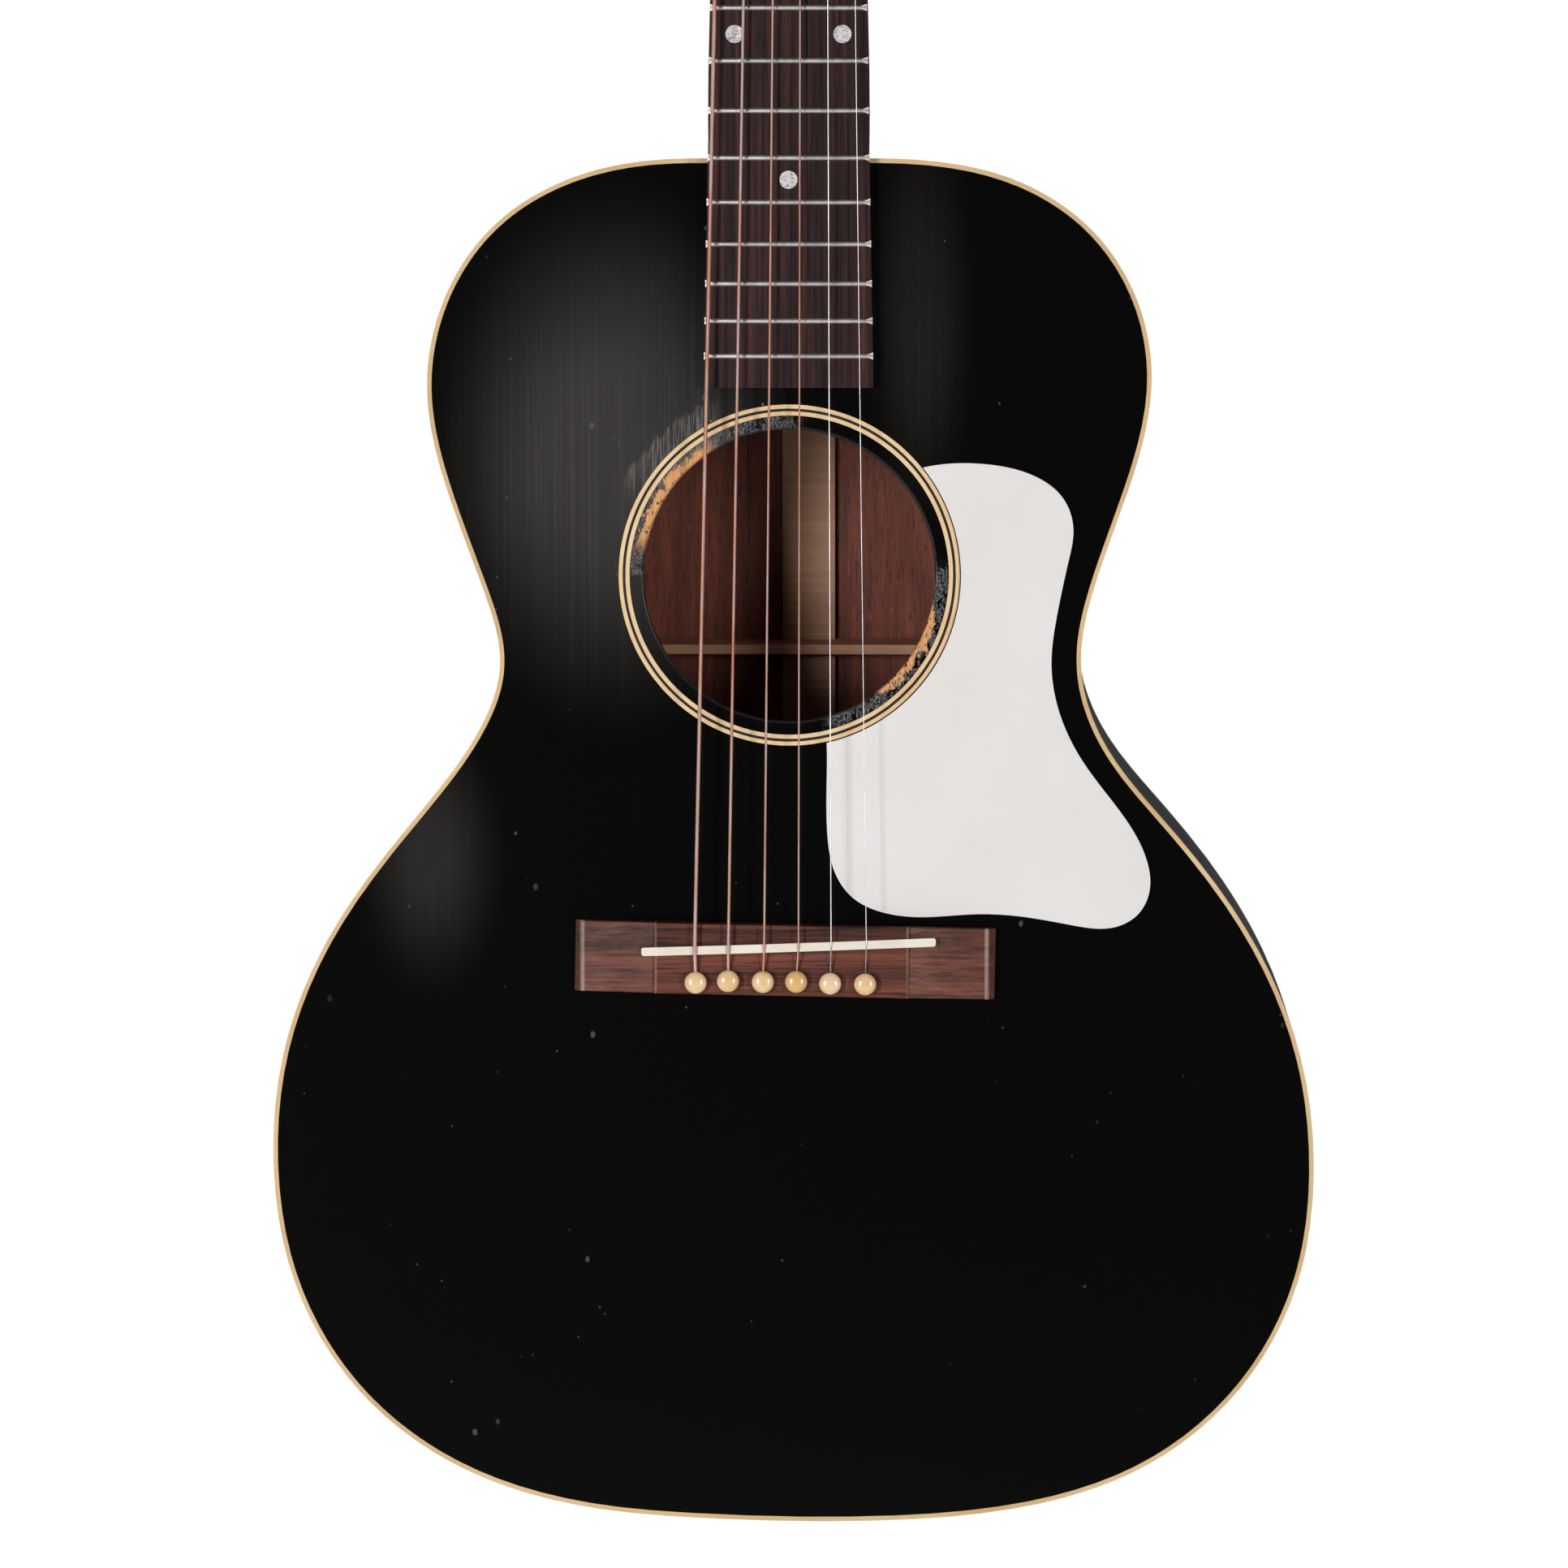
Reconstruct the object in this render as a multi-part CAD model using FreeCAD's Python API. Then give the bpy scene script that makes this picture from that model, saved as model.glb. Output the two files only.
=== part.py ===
import FreeCAD, Part
import math
import os
from FreeCAD import Placement, Rotation, Vector

# A small-bodied steel-string guitar, in millimetres.
# Origin: middle of the nut's front face, in the plane of the soundboard's front.
# +Z runs up the neck to the headstock, +X is the treble side, +Y goes into the body.

# --- scale and frets ---
SCALE = 628.65
FRET_COUNT = 19
INLAY_FRETS = (5, 7, 9, 12, 15)
INLAY_R = 3.2
DOUBLE_INLAY_X = 19.1
SIDE_DOT_R = 1.0

# --- body outline: half widths x at heights z, from the neck down to the tail ---
BODY_TOP_Z = -348.9
BODY_TAIL_Z = -837.2
TREBLE_OUTLINE = [
    (22.0, -348.9), (44.0, -349.3), (78.0, -355.8), (105.0, -371.8), (123.0, -397.3), (129.0, -428.0),
    (122.5, -461.5), (109.5, -499.0), (104.2, -530.0), (112.0, -556.0), (136.0, -587.0), (166.0, -628.0),
    (183.0, -669.5), (187.8, -708.0), (182.0, -751.0), (161.0, -789.5), (126.0, -817.8), (80.0, -832.5),
    (35.0, -836.8)]
BASS_OUTLINE = [
    (22.0, -348.9), (44.0, -349.2), (77.0, -355.7), (105.0, -372.7), (122.0, -397.0), (129.0, -431.0),
    (122.5, -465.0), (109.0, -502.5), (103.2, -530.0), (112.0, -555.0), (136.0, -587.0), (165.0, -627.5),
    (181.5, -670.0), (185.0, -707.5), (178.0, -750.0), (155.0, -790.0), (120.0, -817.2), (70.0, -832.8),
    (30.0, -836.3)]
OFFSET_SAMPLES = 120

# --- body shell ---
TOP_T = 2.8
SIDE_T = 2.0
BACK_T = 2.6
BACK_DOME_R = 4572.0
DEPTH_AT_NECK = 89.0
DEPTH_AT_TAIL = 108.0
BINDING_W = 1.6
BINDING_H = 6.0
LINING_W = 6.5
LINING_H = 13.0
LINING_EDGE = 1.5

# --- sound hole, rosette and pickguard ---
HOLE_X = 0.1
HOLE_Z = -497.1
HOLE_R = 52.0
HOLE_EDGE_R = 0.8
ROSETTE_R = 60.9
ROSETTE_RINGS = (1.55, 0.85, 1.6)
ROSETTE_DEPTH = 0.8
GUARD_T = 1.2
GUARD_ARC_R = 61.25
GUARD_EDGE = [
    (13.5, -572.0), (13.8, -590.0), (17.0, -604.5), (23.5, -612.8), (33.5, -617.5), (47.0, -619.2),
    (66.0, -618.1), (84.0, -619.0), (102.0, -622.1), (115.0, -622.9), (124.5, -618.2), (128.8, -609.5),
    (127.2, -597.0), (118.2, -581.2), (105.0, -563.6), (97.0, -547.5), (93.6, -529.0), (95.6, -511.0),
    (99.6, -492.0), (101.3, -480.5), (97.6, -469.5), (86.0, -461.0), (70.0, -457.4), (54.3, -457.5)]
GUARD_TOP = (47.4, -458.9)
GUARD_LOW_X = 13.5

# --- bridge, saddle, pins ---
BRIDGE_X = -1.3
BRIDGE_Z = -634.3
BRIDGE_TURN = 1.07
BRIDGE_L = 150.0
BRIDGE_W = 25.3
BRIDGE_T = 8.5
WING_STEP_BASS = -46.0
WING_STEP_TREBLE = 43.8
WING_INNER_T = 7.1
WING_OUTER_T = 5.0
WING_END_T = 2.4
SADDLE_ENDS = ((-52.4, -631.2), (52.6, -627.5))
SADDLE_W = 3.0
SADDLE_BOTTOM = -3.5
SADDLE_CREST = -11.5
SADDLE_CROWN_R = 560.0
PIN_PLACES = [(-33.0, -642.0), (-21.4, -641.4), (-9.0, -641.7), (2.9, -641.6), (15.0, -642.2), (27.5, -642.4)]
PIN_RAISE = (0.0, 0.25, -0.1, 0.15, 0.0, 0.2)
PIN_HEAD_R = 3.95
PIN_HEAD_DOME = 2.15
PIN_HEAD_UNDER = 1.5
PIN_COLLAR_H = 0.9
PIN_COLLAR_R = 2.9
PIN_TOP_R = 2.65
PIN_TIP_R = 2.2
PIN_TIP_Y = 15.0

# --- neck and fretboard ---
BOARD_T = 6.4
BOARD_CROWN_R = 304.8
NUT_HALF = 22.25
BOARD_END_HALF = 30.1
BOARD_END_Z = -430.2
NUT_T = 5.0
NUT_CREST = -8.6
NUT_SLOT_Y = -7.9
FRET_W = 2.0
FRET_H = 1.1
FRET_TANG_W = 0.55
FRET_TANG_H = 1.9
NECK_SECTIONS = [  # z, half width, depth, squareness
    (-348.9, 28.55, 18.0, 2.0), (-250.0, 26.7, 17.0, 2.0), (-130.0, 24.6, 15.6, 2.05),
    (-45.0, 23.0, 14.6, 2.1), (-18.0, 22.45, 14.2, 2.5), (4.0, 22.25, 14.4, 7.0)]
HEEL_SECTIONS = [  # y, half width, length along the neck
    (4.0, 27.5, 84.0), (14.0, 27.0, 60.0), (24.0, 24.5, 42.0), (42.0, 19.5, 31.0), (64.0, 15.0, 26.5),
    (86.0, 12.5, 25.5)]
TENON_DEPTH = 20.0
TENON_TOP_Y = 6.5
TENON_LOW_Y = 72.0
TENON_HALVES = (9.0, 12.5)
ROD_R = 2.5
ROD_Y = 8.5
ROD_LOW_Z = -335.0
ROD_TOP_Z = 21.0
ROD_NUT_L = 9.5
ROD_NUT_ACROSS = 8.0

# --- headstock, in its own tilted frame: x, v along it, w out of its front ---
HEAD_TILT = 17.0
HEAD_FOOT_Z = 5.0
HEAD_L = 185.0
HEAD_T = 14.5
VENEER_T = 1.5
HEAD_EDGE = [(22.25, 0.0), (22.6, 4.0), (25.0, 10.0), (29.3, 17.0), (32.2, 27.0), (33.0, 42.0), (34.6, 90.0)]
HEAD_CORNER = (37.2, 176.0)
HEAD_ARCH = 4.0

# --- tuners ---
POST_X = 21.0
POST_V = (40.0, 80.0, 120.0)
POST_R = 3.0
POST_WAIST_R = 2.6
POST_TOP_W = 12.5
RUN_GAP = 0.05
BUSHING_R = 4.2
BUSHING_FLANGE_R = 5.6
BUSHING_FLANGE_T = 1.0
BUSHING_DEPTH = 8.0
PLATE_T = 1.2
PLATE_HALF_W = 8.5
PLATE_ENDS = (24.0, 142.0)
TAB_X = (6.2, 7.4)
WHEEL_TEETH = 14
WHEEL_PITCH_R = 5.0
WHEEL_TIP_R = 5.5
WHEEL_ROOT_R = 4.35
WHEEL_T = 2.5
WHEEL_TOP_W = -17.2
TOOTH_TIP = 0.42
TOOTH_ROOT = 0.9
WORM_PITCH_R = 2.2
WORM_TIP_R = 2.6
WORM_ROOT_R = 1.6
WORM_TURNS = 4
WORM_PHASE = 270.0
WORM_PITCH = 2 * math.pi * WHEEL_PITCH_R / WHEEL_TEETH
WORM_W = WHEEL_TOP_W - WHEEL_T / 2
SHAFT_R = 1.6
BUTTON_X = 50.5
BUTTON_HALVES = (8.6, 7.2, 3.7)
BUTTON_EDGE_R = 2.6

# --- strings, low to high ---
STRING_D = (1.346, 1.067, 0.813, 0.610, 0.406, 0.305)
NUT_X = (-19.6, -11.0, -2.8, 4.6, 12.8, 20.0)
SADDLE_X = (-33.3, -21.3, -8.5, 3.75, 15.35, 27.9)
STRING_POST_V = (40.0, 80.0, 120.0, 120.0, 80.0, 40.0)
STRING_SEAT = 0.2
STRING_BEND_R = 6.0
NUT_GROOVE_GAP = 0.05
NUT_SLOT_GAP = 0.13

# --- inside the body ---
BRACE_W = 8.0
BRACE_H = 14.0
BRACE_EDGE = 3.0
X_CROSS_Z = -573.0
X_HALF_ANGLE = 50.0
BACK_BRACE_Z = (-405.0, -528.4, -640.0, -748.0)
BACK_BRACE_H = 14.0
BACK_BRACE_HALVES = (4.8, 1.7)
BACK_STRIP_X = (-4.8, 14.4)
BACK_STRIP_T = 2.4
BLOCK_HALF_W = 36.0
NECK_BLOCK_L = 48.0
TAIL_BLOCK_L = 20.0
PLATE_UNDER_BRIDGE_T = 2.5
END_PIN_Y = 56.0


def fret_z(number):
    """Height z of a fret's middle line, by equal temperament."""
    return -SCALE * (1 - 2 ** (-number / 12))


def save(name, shapes):
    """Write one node; a list becomes a group of separate solids."""
    solids = []
    for shape in shapes:
        solids += shape.Solids
    result = solids[0] if len(solids) == 1 else Part.makeCompound(solids)
    result.exportStep(f"parts/{name}.step")


def box(x, y, z):
    """Box from three (low, high) pairs."""
    return Part.makeBox(x[1] - x[0], y[1] - y[0], z[1] - z[0], Vector(x[0], y[0], z[0]))


def rod_y(x, z, radius, y0, y1):
    """Round bar along Y."""
    return Part.makeCylinder(radius, y1 - y0, Vector(x, y0, z), Vector(0, 1, 0))


def polygon(points):
    """Flat face from its corners."""
    return Part.Face(Part.makePolygon(points + points[:1]))


def fused(shapes):
    """One solid from overlapping shapes."""
    result = shapes[0].multiFuse(list(shapes[1:]))
    return result.removeSplitter()


def cut_all(shape, tools):
    """Shape with every tool taken away."""
    return shape.cut(Part.makeCompound(tools))


# ---------------------------------------------------------------- body shell

def outline_curve():
    """The body's closed outline, clockwise as seen from the front."""
    treble = [Vector(x, 0, z) for x, z in TREBLE_OUTLINE]
    bass = [Vector(-x, 0, z) for x, z in reversed(BASS_OUTLINE)]
    points = [Vector(0, 0, BODY_TOP_Z)] + treble + [Vector(0, 0, BODY_TAIL_Z)] + bass
    curve = Part.BSplineCurve()
    curve.interpolate(Points=points, PeriodicFlag=True)
    return curve


def outline_wire(inset, y):
    """The body's outline moved inwards, in the plane at depth y."""
    curve = outline_curve()
    if inset:
        first, last = curve.FirstParameter, curve.LastParameter
        points = []
        for i in range(OFFSET_SAMPLES):
            u = first + (last - first) * i / OFFSET_SAMPLES
            along = curve.tangent(u)[0]
            points.append(curve.value(u) + Vector(along.z, 0, -along.x) * inset)
        curve = Part.BSplineCurve()
        curve.interpolate(Points=points, PeriodicFlag=True)
    wire = Part.Wire([curve.toShape()])
    wire.translate(Vector(0, y, 0))
    return wire


def body_slab(inset, y0, y1):
    """Solid of the body's outline, moved inwards, between two depths."""
    return Part.Face(outline_wire(inset, y0)).extrude(Vector(0, y1 - y0, 0))


def body_ring(outer_inset, inner_inset, y0, y1):
    """Band that follows the body's edge."""
    return body_slab(outer_inset, y0, y1).cut(body_slab(inner_inset, y0 - 1, y1 + 1))


def dome(thickness_off):
    """Ball whose rear is the back's domed surface, or a surface inside it."""
    length = BODY_TOP_Z - BODY_TAIL_Z
    middle = (BODY_TOP_Z + BODY_TAIL_Z) / 2
    centre_z = middle - (DEPTH_AT_TAIL - DEPTH_AT_NECK) * BACK_DOME_R / length
    sag = (BODY_TAIL_Z - centre_z) ** 2 / (2 * BACK_DOME_R)
    centre_y = DEPTH_AT_TAIL + sag - BACK_DOME_R
    return Part.makeSphere(BACK_DOME_R - thickness_off, Vector(0, centre_y, centre_z))


def rosette_rings():
    """Three flush rings around the sound hole."""
    rings = []
    outer = ROSETTE_R
    for width in ROSETTE_RINGS:
        disc = rod_y(HOLE_X, HOLE_Z, outer, 0, ROSETTE_DEPTH)
        outer -= width
        rings.append(disc.cut(rod_y(HOLE_X, HOLE_Z, outer, -1, ROSETTE_DEPTH + 1)))
    return rings


def pin_shape(index):
    """One bridge pin: tapered shank, collar and a low domed head, turned about Y."""
    x, z = PIN_PLACES[index]
    seat = -BRIDGE_T - PIN_COLLAR_H - PIN_RAISE[index]
    wide = seat - PIN_HEAD_UNDER
    shank = [(0, wide - PIN_HEAD_DOME), (0, PIN_TIP_Y + 0.8), (PIN_TIP_R, PIN_TIP_Y), (PIN_TOP_R, -BRIDGE_T),
             (PIN_COLLAR_R, -BRIDGE_T), (PIN_COLLAR_R, seat)]
    edges = [Part.makeLine(Vector(*a, 0), Vector(*b, 0)) for a, b in zip(shank, shank[1:])]
    middle_r = (PIN_COLLAR_R + PIN_HEAD_R) / 2 + 0.25
    under = Part.Arc(Vector(PIN_COLLAR_R, seat, 0), Vector(middle_r, seat - PIN_HEAD_UNDER * 0.45, 0),
                     Vector(PIN_HEAD_R, wide, 0))
    dome_points = []
    for i in range(9):
        turn = math.pi / 2 * i / 8
        dome_points.append(Vector(PIN_HEAD_R * math.cos(turn), wide - PIN_HEAD_DOME * math.sin(turn), 0))
    dome_edge = Part.BSplineCurve()
    dome_edge.interpolate(Points=dome_points)
    edges += [under.toShape(), dome_edge.toShape()]
    pin = Part.Face(Part.Wire(edges)).revolve(Vector(0, 0, 0), Vector(0, 1, 0), 360)
    pin.translate(Vector(x, 0, z))
    return pin


def pin_flute(index):
    """Slot on a pin's saddle side that its string runs down."""
    x, z = PIN_PLACES[index]
    half = STRING_D[index] / 2 + 0.1
    return box((x - half, x + half), (-BRIDGE_T - 1.9, PIN_TIP_Y + 1), (z + 1.2, z + 3.4))


def pin_holes():
    """Everything that the pins and strings pass through the bridge and the top."""
    tools = []
    for index in range(6):
        x, z = PIN_PLACES[index]
        tools.append(Part.makeCone(PIN_TOP_R, PIN_TIP_R, PIN_TIP_Y + BRIDGE_T, Vector(x, -BRIDGE_T, z),
                                   Vector(0, 1, 0)))
        tools.append(pin_flute(index))
    return tools


def make_top(holes):
    board = body_slab(BINDING_W, 0, TOP_T)
    opening = rod_y(HOLE_X, HOLE_Z, HOLE_R, -1, TOP_T + 1)
    board = cut_all(board, rosette_rings() + holes).cut(opening)
    rim = [e for e in board.Edges if isinstance(e.Curve, Part.Circle) and abs(e.Curve.Radius - HOLE_R) < 0.01
           and abs(e.Curve.Center.y) < 0.01]
    board = board.makeFillet(HOLE_EDGE_R, rim)
    save("soundboard", [board])
    save("rosette", rosette_rings())


def make_shell(neck_tenon, end_pin):
    outer, inner = dome(0), dome(BACK_T)
    deep = DEPTH_AT_TAIL + 10
    back = body_slab(BINDING_W, DEPTH_AT_NECK - 20, deep).common(outer).cut(inner)
    save("back", [back])

    front_strip = body_ring(0, BINDING_W, 0, BINDING_H)
    back_strip = body_ring(0, BINDING_W, DEPTH_AT_NECK - 20, deep).common(outer).cut(dome(BINDING_H))
    save("binding", [front_strip, back_strip])

    rim = body_ring(0, SIDE_T, TOP_T, deep).common(inner)
    rim = cut_all(rim, [front_strip, back_strip, neck_tenon, end_pin])
    low, high = BODY_TAIL_Z - 10, BODY_TOP_Z + 10
    save("treble_side", [rim.common(box((0, 250), (-5, deep), (low, high)))])
    save("bass_side", [rim.common(box((-250, 0), (-5, deep), (low, high)))])


def make_pickguard():
    def on_arc(angle):
        turn = math.radians(angle)
        return Vector(HOLE_X + GUARD_ARC_R * math.sin(turn), -GUARD_T, HOLE_Z + GUARD_ARC_R * math.cos(turn))
    start = math.degrees(math.atan2(GUARD_TOP[0] - HOLE_X, GUARD_TOP[1] - HOLE_Z))
    end = 180 - math.degrees(math.asin((GUARD_LOW_X - HOLE_X) / GUARD_ARC_R))
    arc = Part.Arc(on_arc(start), on_arc((start + end) / 2), on_arc(end)).toShape()
    free = [on_arc(end)] + [Vector(x, -GUARD_T, z) for x, z in GUARD_EDGE] + [on_arc(start)]
    edge = Part.BSplineCurve()
    edge.interpolate(Points=free)
    plate = Part.Face(Part.Wire([arc, edge.toShape()])).extrude(Vector(0, GUARD_T, 0))
    save("pickguard", [plate])


# ------------------------------------------------------- bridge, saddle, pins

def bridge_frame():
    return Placement(Vector(BRIDGE_X, 0, BRIDGE_Z), Rotation(Vector(0, 1, 0), BRIDGE_TURN))


def saddle_shape():
    """Bone blade, set at a slant, its crest flatter than the fretboard's crown."""
    (x0, z0), (x1, z1) = SADDLE_ENDS
    length = math.hypot(x1 - x0, z1 - z0)
    half = length / 2
    drop = SADDLE_CROWN_R - math.sqrt(SADDLE_CROWN_R ** 2 - half ** 2)
    low = SADDLE_BOTTOM
    ends = SADDLE_CREST + drop
    sides = [Part.makeLine(Vector(-half, ends, 0), Vector(-half, low, 0)),
             Part.makeLine(Vector(-half, low, 0), Vector(half, low, 0)),
             Part.makeLine(Vector(half, low, 0), Vector(half, ends, 0))]
    crest = Part.Arc(Vector(half, ends, 0), Vector(0, SADDLE_CREST, 0), Vector(-half, ends, 0)).toShape()
    blade = Part.Face(Part.Wire(sides + [crest])).extrude(Vector(0, 0, SADDLE_W))
    blade.translate(Vector(0, 0, -SADDLE_W / 2))
    upright = [e for e in blade.Edges if e.BoundBox.XLength < 0.01 and e.BoundBox.ZLength < 0.01]
    blade = blade.makeFillet(SADDLE_W * 0.3, upright)
    turn = -math.degrees(math.atan2(z1 - z0, x1 - x0))
    blade.Placement = Placement(Vector((x0 + x1) / 2, 0, (z0 + z1) / 2), Rotation(Vector(0, 1, 0), turn))
    return blade


def saddle_crest(x):
    """Depth y of the saddle's crest and its height z at x."""
    (x0, z0), (x1, z1) = SADDLE_ENDS
    off = x - (x0 + x1) / 2
    drop = SADDLE_CROWN_R - math.sqrt(SADDLE_CROWN_R ** 2 - off ** 2)
    return SADDLE_CREST + drop, z0 + (z1 - z0) * (x - x0) / (x1 - x0)


def make_bridge(saddle, holes):
    half = BRIDGE_L / 2
    profile = [(-half, 0), (half, 0), (half, -WING_END_T), (half - 2.6, -WING_OUTER_T),
               (WING_STEP_TREBLE + 1.0, -WING_INNER_T), (WING_STEP_TREBLE, -BRIDGE_T),
               (WING_STEP_BASS, -BRIDGE_T), (WING_STEP_BASS - 1.0, -WING_INNER_T),
               (2.6 - half, -WING_OUTER_T), (-half, -WING_END_T)]
    block = polygon([Vector(x, y, -BRIDGE_W / 2) for x, y in profile]).extrude(Vector(0, 0, BRIDGE_W))
    long_edges = [e for e in block.Edges if e.BoundBox.XLength > 20 and e.BoundBox.YMax < -1]
    block = block.makeFillet(0.5, long_edges)
    block.Placement = bridge_frame()
    save("bridge", [cut_all(block, [saddle] + holes)])
    save("saddle", [saddle])


def make_pins():
    pins = []
    for index in range(6):
        pins.append(pin_shape(index).cut(pin_flute(index)))
    save("bridge_pins", pins)


# ---------------------------------------------------------- neck, board, frets

def board_half(z):
    return NUT_HALF + (BOARD_END_HALF - NUT_HALF) * z / BOARD_END_Z


def board_plan(y0, y1, z0, z1, shrink=0.0):
    """Tapered slab with the fretboard's plan shape."""
    corners = [(-board_half(z0) + shrink, z0), (board_half(z0) - shrink, z0),
               (board_half(z1) - shrink, z1), (-board_half(z1) + shrink, z1)]
    return polygon([Vector(x, y0, z) for x, z in corners]).extrude(Vector(0, y1 - y0, 0))


def crown_bar(radius, z0, z1):
    """Round bar along Z whose front is the fretboard's crown when radius is BOARD_CROWN_R."""
    centre = Vector(0, BOARD_CROWN_R - BOARD_T, z0)
    return Part.makeCylinder(radius, z1 - z0, centre, Vector(0, 0, 1))


def fret_parts(number):
    """A fret's solid: rounded crown and tang, both curved across the board."""
    z = fret_z(number)
    top, foot = -BOARD_T - FRET_H, -BOARD_T
    half = FRET_W / 2
    shoulder = foot - FRET_H * 0.35
    lines = [(half, foot), (half, shoulder)]
    tang = FRET_TANG_W / 2
    left = [(-half, shoulder), (-half, foot), (-tang, foot), (-tang, foot + FRET_TANG_H),
            (tang, foot + FRET_TANG_H), (tang, foot), (half, foot)]

    def spot(pair):
        return Vector(0, pair[1], z + pair[0])
    edges = [Part.makeLine(spot(lines[0]), spot(lines[1])),
             Part.Arc(spot((half, shoulder)), spot((0, top)), spot((-half, shoulder))).toShape()]
    edges += [Part.makeLine(spot(a), spot(b)) for a, b in zip(left, left[1:])]
    face = Part.Face(Part.Wire(edges))
    pivot = Vector(0, BOARD_CROWN_R - BOARD_T, z)
    sweep = 2 * math.degrees(math.asin((board_half(z) + 2) / BOARD_CROWN_R))
    face.rotate(pivot, Vector(0, 0, 1), -sweep / 2)
    bar = face.revolve(pivot, Vector(0, 0, 1), sweep)
    reach = board_half(z) + 0.05
    slope = 1.0
    wedge = [(-reach, 0), (reach, 0), (reach, foot + 0.4), (reach - slope, top), (slope - reach, top),
             (-reach, foot + 0.4)]
    trim = polygon([Vector(x, y, z - 3) for x, y in wedge]).extrude(Vector(0, 0, 6))
    return bar.common(trim)


def make_board():
    blank = board_plan(-BOARD_T - 1, 0, BOARD_END_Z, 0).common(crown_bar(BOARD_CROWN_R, BOARD_END_Z, 0))
    dots = []
    for number in INLAY_FRETS:
        middle = (fret_z(number) + fret_z(number - 1)) / 2
        places = (-DOUBLE_INLAY_X, DOUBLE_INLAY_X) if number == 12 else (0.0,)
        for x in places:
            dots.append(rod_y(x, middle, INLAY_R, -BOARD_T - 1, -BOARD_T + 1.6).common(blank))
        edge = -board_half(middle)
        place = Vector(edge - 0.5, -BOARD_T * 0.45, middle)
        side = Part.makeCylinder(SIDE_DOT_R, 2.0, place, Vector(1, 0, 0))
        dots.append(side.common(blank))
    frets = [fret_parts(number) for number in range(1, FRET_COUNT + 1)]
    save("fretboard", [cut_all(blank, dots + frets)])
    save("frets", frets)
    save("position_dots", dots)


def nut_groove(index):
    """Round channel in the nut, a little wider than the string that lies in it."""
    layout = string_layout(index)
    touch = on_post(layout, layout["turn"])
    path = round_path([layout["saddle"], layout["nut"], touch], [STRING_BEND_R])
    return tube(path, layout["r"] + NUT_GROOVE_GAP)


def make_nut():
    blank = box((-NUT_HALF, NUT_HALF), (-10.0, 0), (0, NUT_T))
    over = BOARD_CROWN_R + (-BOARD_T - NUT_CREST)
    blank = blank.common(crown_bar(over, 0, NUT_T))
    top_back = [e for e in blank.Edges if e.BoundBox.ZMin > NUT_T - 0.01 and e.BoundBox.YMax < -6]
    blank = blank.makeFillet(1.2, top_back)
    slots = []
    for index, diameter in enumerate(STRING_D):
        half = diameter / 2 + NUT_SLOT_GAP
        middle = NUT_SLOT_Y - diameter / 2
        slots.append(box((NUT_X[index] - half, NUT_X[index] + half), (-14, middle), (-2, NUT_T + 2)))
        slots.append(nut_groove(index))
    save("nut", [cut_all(blank, slots)])


def neck_section(z, half_width, depth, squareness):
    """Closed section of the neck: flat against the board, rounded behind."""
    points = []
    for i in range(13):
        t = math.pi * i / 12
        across = math.copysign(abs(math.cos(t)) ** (2 / squareness), math.cos(t))
        deep = depth * math.sin(t) ** (2 / squareness) if 0 < i < 12 else 0
        points.append(Vector(half_width * across, deep, z))
    curve = Part.BSplineCurve()
    curve.interpolate(Points=points)
    return Part.Wire([curve.toShape(), Part.makeLine(points[-1], points[0])])


def heel_section(y, half_width, length):
    """D-shaped section of the heel, flat against the body."""
    points = []
    for i in range(13):
        t = math.pi * i / 12
        points.append(Vector(half_width * math.cos(t), y, BODY_TOP_Z + length * math.sin(t)))
    curve = Part.BSplineCurve()
    curve.interpolate(Points=points)
    return Part.Wire([curve.toShape(), Part.makeLine(points[-1], points[0])])


def tenon_shape():
    """Dovetail that slides into the neck block."""
    outer, inner = TENON_HALVES
    far = BODY_TOP_Z - TENON_DEPTH
    corners = [(-outer, BODY_TOP_Z), (outer, BODY_TOP_Z), (inner, far), (-inner, far)]
    face = polygon([Vector(x, TENON_TOP_Y, z) for x, z in corners])
    return face.extrude(Vector(0, TENON_LOW_Y - TENON_TOP_Y, 0))


def head_frame():
    """From the headstock's own frame to the guitar's."""
    return Placement(Vector(0, 0, HEAD_FOOT_Z), Rotation(Vector(1, 0, 0), 90 - HEAD_TILT))


def head_slab(w0, w1):
    """The headstock's outline as a slab, still in the headstock's frame."""
    side = [Vector(x, v, w0) for x, v in HEAD_EDGE]
    corner = Vector(HEAD_CORNER[0], HEAD_CORNER[1], w0)
    turn = Vector(HEAD_CORNER[0] - 1.2, HEAD_L - HEAD_ARCH - 1.2, w0)
    top = Vector(HEAD_CORNER[0] - 5.5, HEAD_L - HEAD_ARCH, w0)
    crest = Vector(0, HEAD_L, w0)

    def mirrored(point):
        return Vector(-point.x, point.y, point.z)
    edge = Part.BSplineCurve()
    edge.interpolate(Points=side)
    other = Part.BSplineCurve()
    other.interpolate(Points=[mirrored(p) for p in reversed(side)])
    edges = [edge.toShape(), Part.makeLine(side[-1], corner), Part.Arc(corner, turn, top).toShape(),
             Part.Arc(top, crest, mirrored(top)).toShape(),
             Part.Arc(mirrored(top), mirrored(turn), mirrored(corner)).toShape(),
             Part.makeLine(mirrored(corner), mirrored(side[-1])), other.toShape(),
             Part.makeLine(mirrored(side[0]), side[0])]
    return Part.Face(Part.Wire(edges)).extrude(Vector(0, 0, w1 - w0))


def in_head(shape):
    """Move a shape from the headstock's frame into the guitar's."""
    moved = shape.copy()
    moved.Placement = head_frame().multiply(moved.Placement)
    return moved


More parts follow.
